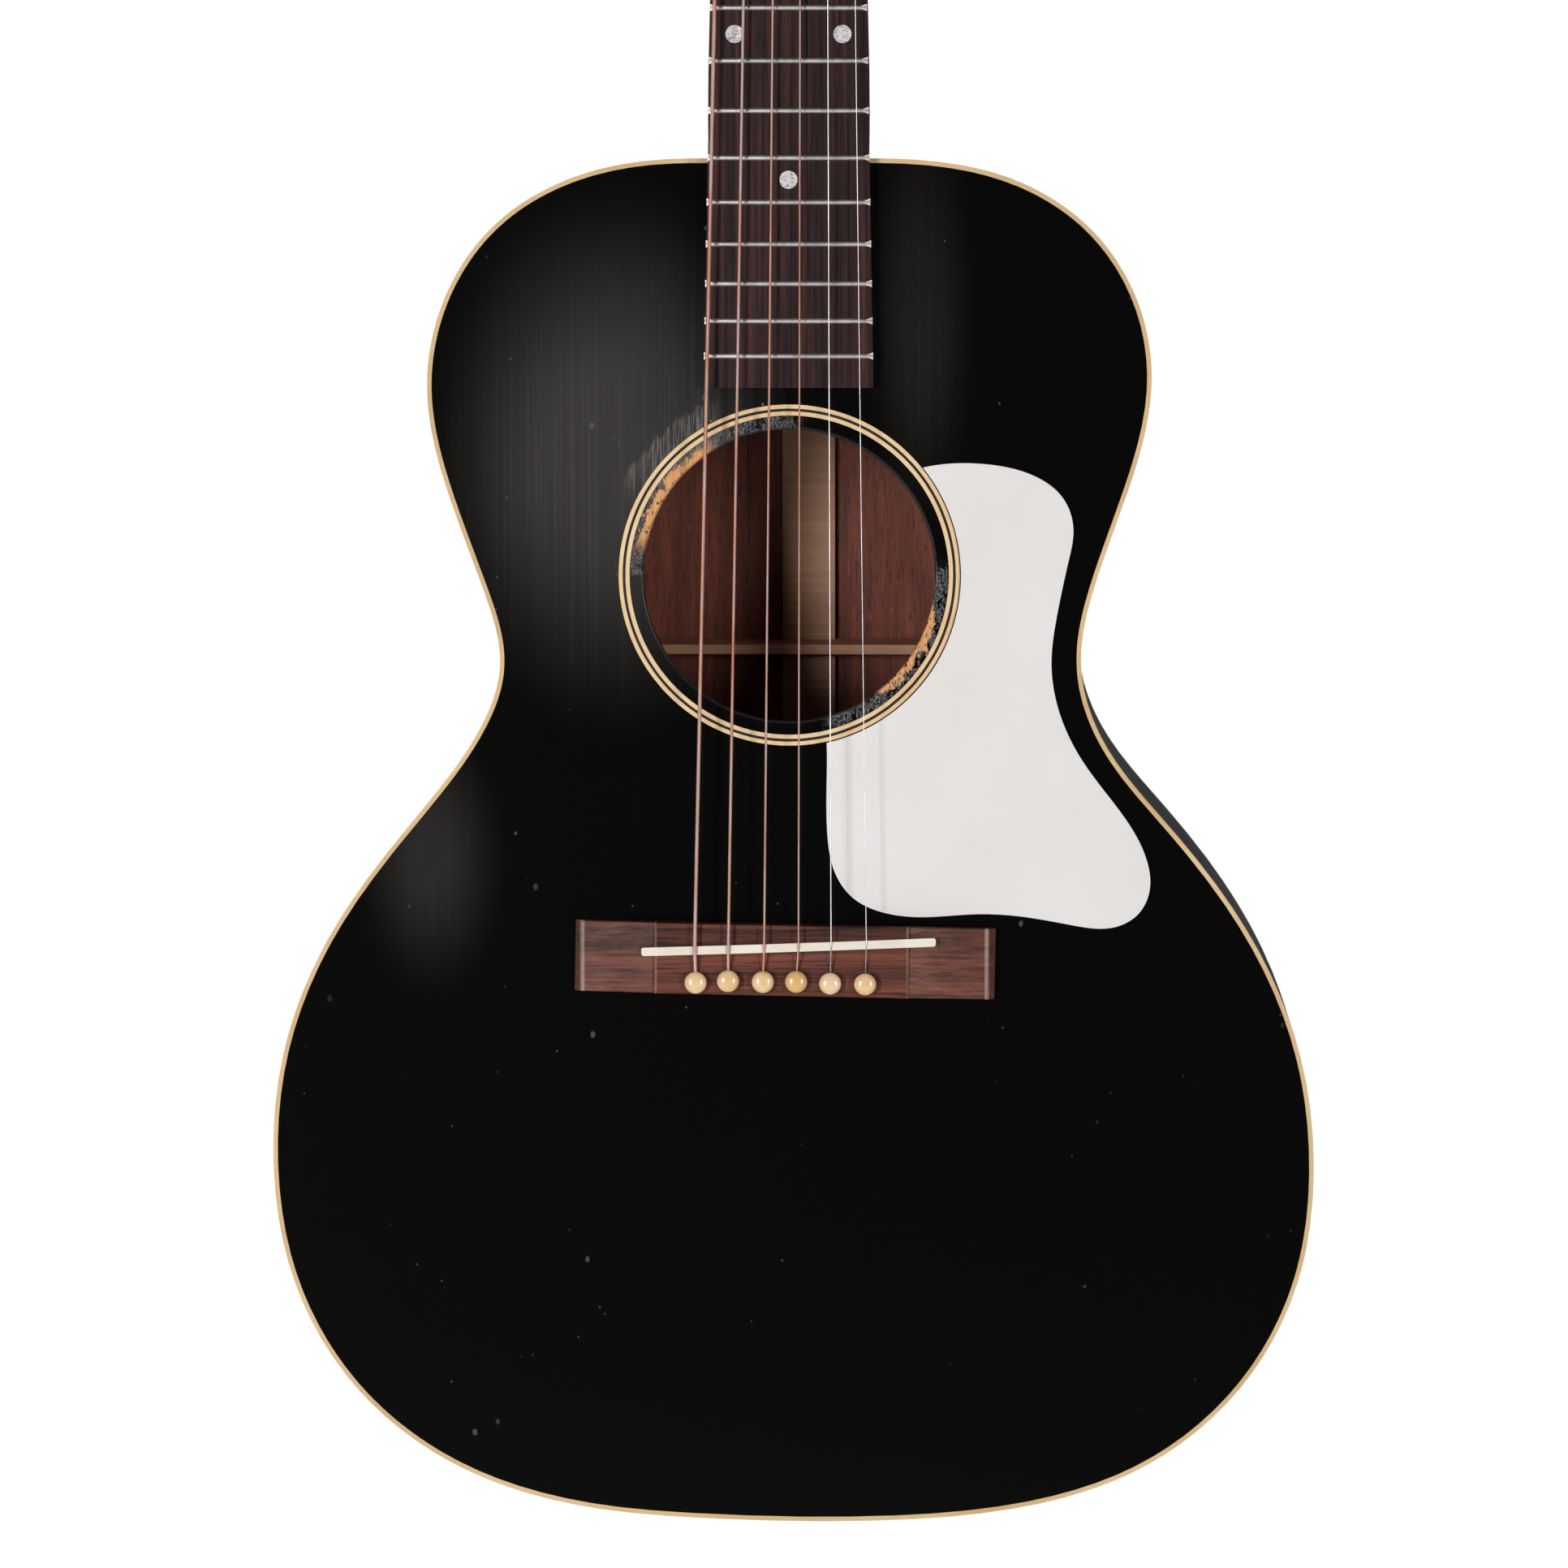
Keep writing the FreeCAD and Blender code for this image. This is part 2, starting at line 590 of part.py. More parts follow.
def post_holes(radius, w0, w1):
    """Six bars along the tuner posts' axes, in the headstock's frame."""
    return [Part.makeCylinder(radius, w1 - w0, Vector(side * POST_X, v, w0))
            for side in (-1, 1) for v in POST_V]


def make_neck(tenon, rod, pocket, screws):
    shaft = Part.makeLoft([neck_section(*s) for s in NECK_SECTIONS], True)
    heel = Part.makeLoft([heel_section(*s) for s in HEEL_SECTIONS], True)
    slab = in_head(head_slab(-HEAD_T, 0))
    above = in_head(box((-60, 60), (0, 60), (0, 30)))
    wood = fused([shaft, heel, slab]).cut(above)
    wood = wood.cut(body_slab(0, -20, DEPTH_AT_TAIL + 20))
    wood = wood.fuse(tenon).removeSplitter()
    holes = [in_head(shape) for shape in post_holes(BUSHING_R, -HEAD_T - 1, 1)]
    wood = cut_all(wood, holes + [rod, pocket] + screws)
    save("neck", [wood])


# ------------------------------------------------------------------ truss rod

def rod_pocket():
    """Trough in the headstock's face, around the adjusting nut."""
    bore = Part.makeCylinder(5.6, 36.0, Vector(0, ROD_Y, 8.0), Vector(0, 0, 1))
    mouth = box((-5.6, 5.6), (-8, ROD_Y), (8.0, 44.0))
    return bore.fuse(mouth)


def make_truss_rod():
    rod = Part.makeCylinder(ROD_R, ROD_TOP_Z - ROD_LOW_Z, Vector(0, ROD_Y, ROD_LOW_Z), Vector(0, 0, 1))
    anchor = box((-6, 6), (ROD_Y - 4, ROD_Y + 4), (ROD_LOW_Z - 6, ROD_LOW_Z))
    washer = Part.makeCylinder(5.0, 1.2, Vector(0, ROD_Y, 8.2), Vector(0, 0, 1))
    return fused([rod, anchor, washer])


def make_rod_nut():
    corner = ROD_NUT_ACROSS / math.sqrt(3)
    points = []
    for i in range(6):
        angle = math.radians(60 * i)
        points.append(Vector(corner * math.cos(angle), ROD_Y + corner * math.sin(angle), 9.6))
    body = polygon(points).extrude(Vector(0, 0, ROD_NUT_L))
    thread = Part.makeCylinder(ROD_R + RUN_GAP, 30, Vector(0, ROD_Y, 0), Vector(0, 0, 1))
    save("truss_rod_nut", [body.cut(thread)])


def cover_slab(w0, w1):
    """Bell-shaped cover over the truss rod's pocket."""
    right = [Vector(10.5, 1.0, w0), Vector(10.8, 14.0, w0), Vector(8.2, 26.0, w0), Vector(5.6, 38.0, w0),
             Vector(5.4, 47.0, w0)]
    left = [Vector(-p.x, p.y, p.z) for p in reversed(right)]
    one, two = Part.BSplineCurve(), Part.BSplineCurve()
    one.interpolate(Points=right)
    two.interpolate(Points=left)
    edges = [one.toShape(), Part.Arc(right[-1], Vector(0, 52.5, w0), left[0]).toShape(), two.toShape(),
             Part.makeLine(left[-1], right[0])]
    return Part.Face(Part.Wire(edges)).extrude(Vector(0, 0, w1 - w0))


# --------------------------------------------------------------------- tuners

def wheel_profile(w, turn):
    """Outline of the toothed wheel at height w, turned by some degrees."""
    step = 2 * math.pi / WHEEL_TEETH
    points = []
    for tooth in range(WHEEL_TEETH):
        middle = math.pi / 2 + tooth * step + math.radians(turn)
        for radius, width in ((WHEEL_ROOT_R, -TOOTH_ROOT), (WHEEL_TIP_R, -TOOTH_TIP),
                              (WHEEL_TIP_R, TOOTH_TIP), (WHEEL_ROOT_R, TOOTH_ROOT)):
            angle = middle + width / 2 / radius
            points.append(Vector(radius * math.cos(angle), radius * math.sin(angle), w))
    return Part.makePolygon(points + points[:1])


def wheel_shape():
    """Worm wheel with slanted teeth, its axis along w through the origin."""
    lead = math.atan(WORM_PITCH / (2 * math.pi * WORM_PITCH_R))
    lean = math.degrees(WHEEL_T / 2 * math.tan(lead) / WHEEL_PITCH_R)
    low = WHEEL_TOP_W - WHEEL_T
    wheel = Part.makeLoft([wheel_profile(low, lean), wheel_profile(WHEEL_TOP_W, -lean)], True, True)
    return wheel.cut(Part.makeCylinder(POST_R * 0.8, 10, Vector(0, 0, low - 3)))


def post_shape():
    """String post with a waist for the windings and a hole for the string."""
    low = WHEEL_TOP_W
    profile = [(0, low), (POST_R, low), (POST_R, 3.0), (POST_WAIST_R, 3.6), (POST_WAIST_R, 9.4),
               (POST_R, 10.0), (POST_R, POST_TOP_W - 0.6), (POST_R - 0.6, POST_TOP_W), (0, POST_TOP_W)]
    body = polygon([Vector(r, 0, w) for r, w in profile]).revolve(Vector(0, 0, 0), Vector(0, 0, 1), 360)
    stub = Part.makeCylinder(POST_R * 0.8, WHEEL_T, Vector(0, 0, low - WHEEL_T))
    hole = Part.makeCylinder(0.8, 10, Vector(-5, 0, 8.8), Vector(1, 0, 0))
    return body.fuse(stub).removeSplitter().cut(hole)


def wheel_screw():
    low = WHEEL_TOP_W - WHEEL_T
    head = Part.makeCylinder(3.3, 1.3, Vector(0, 0, low - 1.3))
    head = head.makeFillet(0.5, [e for e in head.Edges if e.BoundBox.ZMax < low - 1.2])
    return head.cut(box((-4, 4), (-0.4, 0.4), (low - 2, low - 0.7)))


def worm_shape():
    """Worm on its shaft, along X, its middle at the origin; the buttons' end is at +X."""
    length = WORM_PITCH * WORM_TURNS
    helix = Part.makeHelix(WORM_PITCH, length, WORM_PITCH_R)
    root, tip = WORM_ROOT_R - 0.15, WORM_TIP_R
    corners = [(root, -0.72), (tip, -0.32), (tip, 0.32), (root, 0.72)]
    profile = Part.makePolygon([Vector(x, 0, z) for x, z in corners + corners[:1]])
    thread = Part.Wire(helix.Edges).makePipeShell([profile], True, True)
    core = Part.makeCylinder(WORM_ROOT_R, length + 1.4, Vector(0, 0, -0.7))
    worm = core.fuse(thread)
    trim = Part.makeCylinder(WORM_TIP_R + 1, length, Vector(0, 0, 0))
    worm = worm.common(trim)
    worm.rotate(Vector(0, 0, 0), Vector(0, 0, 1), 180)
    worm.translate(Vector(0, 0, -length / 2))
    worm.rotate(Vector(0, 0, 0), Vector(0, 1, 0), 90)
    worm.rotate(Vector(0, 0, 0), Vector(1, 0, 0), WORM_PHASE)
    return worm


def worm_axis_v(v):
    return v + WHEEL_PITCH_R + WORM_PITCH_R


def make_tuner(number, side, v):
    name = str(number)
    x = side * POST_X
    at_post = Vector(x, v, 0)
    post, wheel, screw = post_shape(), wheel_shape(), wheel_screw()
    for shape in (post, wheel, screw):
        shape.translate(at_post)
    save("string_post_" + name, [in_head(post), in_head(wheel), in_head(screw)])

    axis = Vector(x, worm_axis_v(v), WORM_W)
    worm = worm_shape()
    worm.translate(axis)
    inner = x - side * (TAB_X[1] + 0.6)
    neck_end = side * (BUTTON_X - BUTTON_HALVES[0] - 2.0)
    outer = side * BUTTON_X
    shaft = Part.makeCylinder(SHAFT_R, abs(outer - inner), Vector(inner, axis.y, axis.z), Vector(side, 0, 0))
    collar = Part.makeCylinder(2.6, 4.0, Vector(neck_end, axis.y, axis.z), Vector(side, 0, 0))
    save("worm_shaft_" + name, [in_head(fused([worm, shaft, collar]))])

    long_half, short_half, thick_half = BUTTON_HALVES
    oval = Part.Ellipse(Vector(outer, axis.y, axis.z - thick_half), long_half, short_half).toShape()
    button = Part.Face(Part.Wire([oval])).extrude(Vector(0, 0, 2 * thick_half))
    button = button.makeFillet(BUTTON_EDGE_R, [e for e in button.Edges if e.BoundBox.ZLength < 0.01])
    save("tuner_button_" + name, [in_head(cut_all(button, [shaft, collar]))])


def make_tuner_plate(name, side, screws):
    x = side * POST_X
    v0, v1 = PLATE_ENDS
    strip = box((x - PLATE_HALF_W, x + PLATE_HALF_W), (v0, v1), (-HEAD_T - PLATE_T, -HEAD_T))
    corners = [e for e in strip.Edges if e.BoundBox.ZLength > PLATE_T * 0.9]
    plate = [strip.makeFillet(3.0, corners)]
    holes = []
    for v in POST_V:
        axis_v = worm_axis_v(v)
        for start in (-TAB_X[1], TAB_X[0]):
            tab = box((x + start, x + start + TAB_X[1] - TAB_X[0]), (axis_v - 3.2, axis_v + 3.2),
                      (WORM_W - 3.4, -HEAD_T - PLATE_T / 2))
            plate.append(tab)
        shaft_start = Vector(x - 20, axis_v, WORM_W)
        holes.append(Part.makeCylinder(SHAFT_R + RUN_GAP, 40, shaft_start, Vector(1, 0, 0)))
        holes.append(Part.makeCylinder(POST_R + RUN_GAP, 10, Vector(x, v, -HEAD_T - 5)))
    shape = in_head(cut_all(fused(plate), holes))
    save(name, [cut_all(shape, screws)])


def make_bushings():
    bushings = []
    for side in (-1, 1):
        for v in POST_V:
            sleeve = Part.makeCylinder(BUSHING_R, BUSHING_DEPTH + VENEER_T, Vector(0, 0, -BUSHING_DEPTH))
            flange = Part.makeCylinder(BUSHING_FLANGE_R, BUSHING_FLANGE_T, Vector(0, 0, VENEER_T))
            flange = flange.makeFillet(0.5, [e for e in flange.Edges if e.BoundBox.ZMin > VENEER_T + 0.9])
            bore = Part.makeCylinder(POST_R + RUN_GAP, 30, Vector(0, 0, -15))
            bushing = fused([sleeve, flange]).cut(bore)
            bushing.translate(Vector(side * POST_X, v, 0))
            bushings.append(in_head(bushing))
    save("tuner_bushings", bushings)


def screw_shape(x, v, surface, outward, length):
    """Slotted wood screw; outward is +1 on the front and -1 on the back."""
    shank = Part.makeCylinder(1.1, length, Vector(x, v, surface), Vector(0, 0, -outward))
    head = Part.makeCone(2.4, 1.5, 1.1, Vector(x, v, surface), Vector(0, 0, outward))
    top = surface + outward * 1.1
    slot = box((x - 3, x + 3), (v - 0.3, v + 0.3), sorted((top - outward * 0.5, top + outward)))
    return in_head(fused([shank, head]).cut(slot))


def screw_shapes():
    back = -HEAD_T - PLATE_T
    screws = []
    for side in (-1, 1):
        for v in (PLATE_ENDS[0] + 4.5, POST_V[0] + 20, POST_V[1] + 20, PLATE_ENDS[1] - 4.5):
            screws.append(screw_shape(side * POST_X, v, back, -1, 9.0))
    for x, v in ((-7.8, 5.0), (7.8, 5.0), (0.0, 49.0)):
        screws.append(screw_shape(x, v, VENEER_T + 1.6, 1, 8.0))
    return screws


# -------------------------------------------------------------------- strings

def round_path(points, radii):
    """Straight runs joined by tangent arcs."""
    edges = []
    here = points[0]
    for i, radius in enumerate(radii):
        corner = points[i + 1]
        before = (points[i] - corner).normalize()
        after = (points[i + 2] - corner).normalize()
        half = before.getAngle(after) / 2
        reach = radius / math.tan(half)
        start, end = corner + before * reach, corner + after * reach
        bisector = (before + after).normalize()
        middle = corner + bisector * (radius / math.sin(half) - radius)
        edges.append(Part.makeLine(here, start))
        edges.append(Part.Arc(start, middle, end).toShape())
        here = end
    edges.append(Part.makeLine(here, points[-1]))
    return edges


def tube(edges, radius):
    """Round bar that follows a path."""
    start = edges[0].Vertexes[0].Point
    along = edges[0].tangentAt(edges[0].FirstParameter)
    ring = Part.Wire([Part.makeCircle(radius, start, along)])
    return Part.Wire(edges).makePipeShell([ring], True, False)


def string_layout(index):
    """Where a string passes: its bends, its post and its level on the post."""
    diameter = STRING_D[index]
    r = diameter / 2
    pin_x, pin_z = PIN_PLACES[index]
    run_z = pin_z + 1.25 + r
    crest_y, crest_z = saddle_crest(SADDLE_X[index])
    saddle = Vector(SADDLE_X[index], crest_y - r - STRING_SEAT, crest_z)
    nut = Vector(NUT_X[index], NUT_SLOT_Y - r, 1.6)
    side = -1 if index < 3 else 1
    post = Vector(side * POST_X, STRING_POST_V[index], 0)
    wrap_r = POST_WAIST_R + RUN_GAP + r
    local_nut = head_frame().inverse().multVec(nut)
    level = local_nut.z
    away = local_nut - Vector(post.x, post.y, level)
    reach = away.Length
    heading = math.atan2(away.y, away.x)
    swing = math.acos(wrap_r / reach)
    turn = heading + swing if side < 0 else heading - swing
    return {"r": r, "side": side, "post": post, "level": level, "wrap_r": wrap_r, "turn": turn,
            "low": Vector(pin_x, PIN_TIP_Y + 1.5, run_z), "exit": Vector(pin_x, -BRIDGE_T - r - 0.05, run_z),
            "saddle": saddle, "nut": nut}


def on_post(layout, angle):
    centre = layout["post"]
    wrap_r = layout["wrap_r"]
    point = Vector(centre.x + wrap_r * math.cos(angle), centre.y + wrap_r * math.sin(angle), layout["level"])
    return head_frame().multVec(point)


def string_shape(index):
    """A string from its ball end under the bridge to its first turn on the post."""
    layout = string_layout(index)
    r = layout["r"]
    touch = on_post(layout, layout["turn"])
    points = [layout["low"], layout["exit"], layout["saddle"], layout["nut"], touch]
    edges = round_path(points, [1.2 + r, 2.5, STRING_BEND_R])
    sense = 1 if layout["side"] < 0 else -1
    sweep = math.radians(250) * sense
    half_way, far = layout["turn"] + sweep / 2, layout["turn"] + sweep
    edges.append(Part.Arc(touch, on_post(layout, half_way), on_post(layout, far)).toShape())
    line = tube(edges, r)
    ball = Part.makeCylinder(2.0, 2.4, layout["low"] + Vector(-1.2, 2.0, 0), Vector(1, 0, 0))
    return fused([line, ball])


def winding_shape(index):
    """The turns below a string's first one, each a plain ring round the post."""
    layout = string_layout(index)
    diameter = 2 * layout["r"]
    turns = 2 if index < 3 else 4
    rings = []
    for turn in range(turns):
        level = layout["level"] - (turn + 1) * (diameter + 0.04)
        centre = Vector(layout["post"].x, layout["post"].y, level)
        ring = Part.makeTorus(POST_WAIST_R + layout["r"], layout["r"] - 0.001, centre)
        rings.append(in_head(ring))
    return rings


# ------------------------------------------------------------ inside the body

def brace_bar(start, end, half_low, half_high, y0, y1):
    """Bar along the top or back: half_low wide at y0, half_high wide at y1."""
    along = (end - start).normalize()
    across = Vector(along.z, 0, -along.x)
    corners = [start + across * half_low + Vector(0, y0, 0), start - across * half_low + Vector(0, y0, 0),
               start - across * half_high + Vector(0, y1, 0), start + across * half_high + Vector(0, y1, 0)]
    return polygon(corners).extrude(end - start)


def top_brace(x0, z0, x1, z1, width=BRACE_W, height=BRACE_H):
    return brace_bar(Vector(x0, 0, z0), Vector(x1, 0, z1), width / 2, BRACE_EDGE / 2, TOP_T, TOP_T + height)


def make_insides(tenon, end_pin, holes):
    deep = DEPTH_AT_TAIL + 10
    hollow = body_slab(SIDE_T, TOP_T, deep).common(dome(BACK_T))
    neck_block = hollow.common(box((-BLOCK_HALF_W, BLOCK_HALF_W), (0, deep),
                                   (BODY_TOP_Z - NECK_BLOCK_L, BODY_TOP_Z + 5))).cut(tenon)
    tail_block = hollow.common(box((-BLOCK_HALF_W, BLOCK_HALF_W), (0, deep),
                                   (BODY_TAIL_Z - 5, BODY_TAIL_Z + TAIL_BLOCK_L))).cut(end_pin)
    save("neck_block", [neck_block])
    save("tail_block", [tail_block])

    blocks = [neck_block, tail_block, tenon, end_pin]
    wide = SIDE_T + LINING_W
    thin = SIDE_T + LINING_EDGE
    front = body_slab(SIDE_T, TOP_T, TOP_T + LINING_H)
    core = Part.makeLoft([outline_wire(wide, TOP_T), outline_wire(thin, TOP_T + LINING_H)], True, True)
    front = cut_all(front.cut(core), blocks)
    band = body_ring(SIDE_T, SIDE_T + LINING_W * 0.55, DEPTH_AT_NECK - 40, deep)
    back = cut_all(band.common(dome(BACK_T)).cut(dome(BACK_T + LINING_H)), blocks)
    save("linings", [front, back])

    room = body_slab(wide, TOP_T, deep).common(dome(BACK_T))
    tan = math.tan(math.radians(X_HALF_ANGLE))
    up, down = 75.0, 175.0
    x_one = top_brace(-tan * up, X_CROSS_Z + up, tan * down, X_CROSS_Z - down)
    x_two = top_brace(tan * up, X_CROSS_Z + up, -tan * down, X_CROSS_Z - down).cut(x_one)
    upper = top_brace(-140, -437.5, 140, -437.5, 10.0, 12.0)
    side_left = top_brace(-62, -452, -62, -531, 7.0, 8.0)
    side_right = top_brace(62, -452, 62, -531, 7.0, 8.0)
    tone_one = top_brace(-30, -690, 95, -790, 6.5, 9.0)
    tone_two = top_brace(-52, -662, 44, -742, 6.5, 9.0)
    finger = [top_brace(side * 112, -655, side * 165, -680, 6.0, 7.0) for side in (-1, 1)]
    finger += [top_brace(side * 82, -600, side * 132, -620, 6.0, 7.0) for side in (-1, 1)]
    crossed = Part.makeCompound([x_one, x_two])
    others = [bar.cut(crossed) for bar in [upper, side_left, side_right, tone_one, tone_two] + finger]
    plate_corners = [(-42.0, -613.0), (42.0, -613.0), (88.0, -653.0), (-88.0, -653.0)]
    face = polygon([Vector(x, TOP_T, z) for x, z in plate_corners])
    plate = face.extrude(Vector(0, PLATE_UNDER_BRIDGE_T, 0))
    save("bridge_plate", [cut_all(plate, [crossed] + holes)])
    save("top_braces", [cut_all(bar.common(room), blocks) for bar in [x_one, x_two] + others])

    reach = 200.0
    braces = []
    wide_half, thin_half = BACK_BRACE_HALVES
    for z in BACK_BRACE_Z:
        bar = brace_bar(Vector(-reach, 0, z), Vector(reach, 0, z), thin_half, wide_half,
                        DEPTH_AT_TAIL - BACK_T - BACK_BRACE_H - 6, DEPTH_AT_TAIL + 2)
        braces.append(bar.common(room).cut(dome(BACK_T + BACK_BRACE_H)))
    strip = box(BACK_STRIP_X, (50, deep), (BODY_TAIL_Z + TAIL_BLOCK_L + 3, BODY_TOP_Z - NECK_BLOCK_L - 3))
    strip = strip.common(room).cut(dome(BACK_T + BACK_STRIP_T))
    save("back_braces", braces + [cut_all(strip, braces)])


def end_pin_shape():
    """Strap button at the tail: tapered shank, waist and flange, along -Z."""
    profile = [(0, 18.0), (3.4, 18.0), (4.3, 0.0), (7.0, 0.0), (7.0, -1.0), (4.4, -2.2), (4.4, -5.0),
               (6.2, -6.4), (6.4, -7.2), (5.2, -8.0), (0, -8.3)]
    points = [Vector(r, END_PIN_Y, BODY_TAIL_Z + z) for r, z in profile]
    return polygon(points).revolve(Vector(0, END_PIN_Y, 0), Vector(0, 0, 1), 360)


def main():
    os.makedirs("parts", exist_ok=True)
    tenon = tenon_shape()
    end_pin = end_pin_shape()
    saddle = saddle_shape()
    holes = pin_holes()
    rod = make_truss_rod()
    screws = screw_shapes()
    strings = [string_shape(index) for index in range(6)]

    make_top(holes)
    make_shell(tenon, end_pin)
    make_pickguard()
    make_bridge(saddle, holes)
    make_pins()
    make_board()
    make_nut()
    make_neck(tenon, rod, rod_pocket(), screws)
    save("truss_rod", [rod])
    make_rod_nut()
    save("end_pin", [end_pin])
    make_insides(tenon, end_pin, holes)

    veneer = cut_all(head_slab(0, VENEER_T), post_holes(BUSHING_R, -1, 3))
    save("headstock_veneer", [cut_all(in_head(veneer), [rod_pocket()] + screws)])
    save("truss_rod_cover", [cut_all(in_head(cover_slab(VENEER_T, VENEER_T + 1.6)), screws)])
    save("headstock_screws", screws)
    make_bushings()
    make_tuner_plate("tuner_plate_bass", -1, screws)
    make_tuner_plate("tuner_plate_treble", 1, screws)
    for index in range(6):
        number = 6 - index
        side = -1 if index < 3 else 1
        make_tuner(number, side, STRING_POST_V[index])
        save(f"string_{number}", [strings[index]])
        save(f"post_winding_{number}", winding_shape(index))


main()
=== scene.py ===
import math

import bmesh
import bpy
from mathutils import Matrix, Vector


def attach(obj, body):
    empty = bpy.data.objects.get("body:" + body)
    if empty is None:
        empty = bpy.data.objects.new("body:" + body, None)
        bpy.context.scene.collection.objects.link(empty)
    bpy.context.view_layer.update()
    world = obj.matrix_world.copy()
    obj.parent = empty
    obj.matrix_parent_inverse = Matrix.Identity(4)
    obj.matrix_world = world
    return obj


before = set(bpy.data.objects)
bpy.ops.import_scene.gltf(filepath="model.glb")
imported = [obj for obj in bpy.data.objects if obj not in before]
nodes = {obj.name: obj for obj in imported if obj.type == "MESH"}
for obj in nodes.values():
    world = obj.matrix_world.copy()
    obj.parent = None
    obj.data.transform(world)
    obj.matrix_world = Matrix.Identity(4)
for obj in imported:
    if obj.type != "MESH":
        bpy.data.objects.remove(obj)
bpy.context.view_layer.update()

# The guitar stands upright, metres: +Z up the neck, +X treble side, -Y out of the soundboard.
HOLE = Vector((0.0001, 0.0, -0.4971))
BODY_MIDDLE_Z = -0.59
STRINGS = 6
PLAIN_STRINGS = 2


# ------------------------------------------------------------- shader helpers

def opaque(colour):
    """A colour as a socket takes it: another socket as it is, three numbers with alpha 1."""
    return colour if isinstance(colour, bpy.types.NodeSocket) else (*colour, 1.0)


def faded(colour, factor):
    """A colour darkened, or brightened up to 1, by a factor."""
    return tuple(min(1, v * factor) for v in colour)


class Shader:
    """A material's node tree, with short calls for the nodes used here."""

    def __init__(self, name):
        self.material = bpy.data.materials.new(name)
        self.material.use_nodes = True
        self.tree = self.material.node_tree
        self.bsdf = self.tree.nodes["Principled BSDF"]
        self.coords = self.tree.nodes.new("ShaderNodeTexCoord").outputs["Object"]

    def feed(self, socket, value):
        """Link a value's socket, or set a constant."""
        if isinstance(value, bpy.types.NodeSocket):
            self.tree.links.new(value, socket)
        else:
            socket.default_value = value

    def math(self, operation, a, b=0.0, clamp=False):
        node = self.tree.nodes.new("ShaderNodeMath")
        node.operation = operation
        node.use_clamp = clamp
        self.feed(node.inputs[0], a)
        self.feed(node.inputs[1], b)
        return node.outputs[0]

    def times(self, a, b, clamp=False):
        return self.math("MULTIPLY", a, b, clamp)

    def plus(self, a, b, clamp=False):
        return self.math("ADD", a, b, clamp)

    def minus(self, a, b):
        return self.math("SUBTRACT", a, b)

    def larger(self, a, b, clamp=False):
        return self.math("MAXIMUM", a, b, clamp)

    def axes(self):
        """The three object coordinates, each a value."""
        node = self.tree.nodes.new("ShaderNodeSeparateXYZ")
        self.feed(node.inputs[0], self.coords)
        return node.outputs[0], node.outputs[1], node.outputs[2]

    def outward(self, x, z):
        """The surface's direction in depth, and how far it faces away from the body's middle."""
        split = self.tree.nodes.new("ShaderNodeSeparateXYZ")
        self.tree.links.new(self.coords.node.outputs["Normal"], split.inputs[0])
        across = self.times(x, split.outputs[0])
        along = self.times(self.minus(z, BODY_MIDDLE_Z), split.outputs[2])
        return split.outputs[1], self.plus(across, along)

    def stretched(self, scale, turn=(0, 0, 0)):
        """Coordinates scaled per axis, to stretch a texture."""
        node = self.tree.nodes.new("ShaderNodeMapping")
        self.feed(node.inputs["Vector"], self.coords)
        node.inputs["Scale"].default_value = scale
        node.inputs["Rotation"].default_value = turn
        return node.outputs[0]

    def noise(self, vector, scale=1.0, detail=4.0, rough=0.55, distort=0.0):
        node = self.tree.nodes.new("ShaderNodeTexNoise")
        self.feed(node.inputs["Vector"], vector)
        node.inputs["Scale"].default_value = scale
        node.inputs["Detail"].default_value = detail
        node.inputs["Roughness"].default_value = rough
        node.inputs["Distortion"].default_value = distort
        return node.outputs["Fac"]

    def cells(self, vector, scale=1.0):
        """Distance to the nearest scattered point."""
        node = self.tree.nodes.new("ShaderNodeTexVoronoi")
        self.feed(node.inputs["Vector"], vector)
        node.inputs["Scale"].default_value = scale
        return node.outputs["Distance"]

    def step(self, value, low, high):
        """0 below low, 1 above high, smooth between; low above high turns it round."""
        node = self.tree.nodes.new("ShaderNodeMapRange")
        node.interpolation_type = "SMOOTHSTEP"
        flip = low > high
        self.feed(node.inputs["Value"], value)
        node.inputs["From Min"].default_value = min(low, high)
        node.inputs["From Max"].default_value = max(low, high)
        node.inputs["To Min"].default_value = 1.0 if flip else 0.0
        node.inputs["To Max"].default_value = 0.0 if flip else 1.0
        return node.outputs[0]

    def ramp(self, value, stops):
        """Colour ramp from (position, (r, g, b)) stops."""
        node = self.tree.nodes.new("ShaderNodeValToRGB")
        elements = node.color_ramp.elements
        while len(elements) < len(stops):
            elements.new(0.5)
        for element, (place, colour) in zip(elements, stops):
            element.position = place
            element.color = (*colour, 1.0)
        self.feed(node.inputs[0], value)
        return node.outputs[0]

    def mix(self, factor, a, b):
        """Colour a turning into colour b by factor."""
        node = self.tree.nodes.new("ShaderNodeMix")
        node.data_type = "RGBA"
        self.feed(node.inputs["Factor"], factor)
        self.feed(node.inputs["A"], opaque(a))
        self.feed(node.inputs["B"], opaque(b))
        return node.outputs["Result"]

    def blend(self, factor, a, b):
        """Number a turning into number b by factor."""
        node = self.tree.nodes.new("ShaderNodeMix")
        self.feed(node.inputs["Factor"], factor)
        self.feed(node.inputs["A"], a)
        self.feed(node.inputs["B"], b)
        return node.outputs["Result"]

    def bump(self, height, strength, distance):
        node = self.tree.nodes.new("ShaderNodeBump")
        node.inputs["Strength"].default_value = strength
        node.inputs["Distance"].default_value = distance
        self.feed(node.inputs["Height"], height)
        return node.outputs[0]

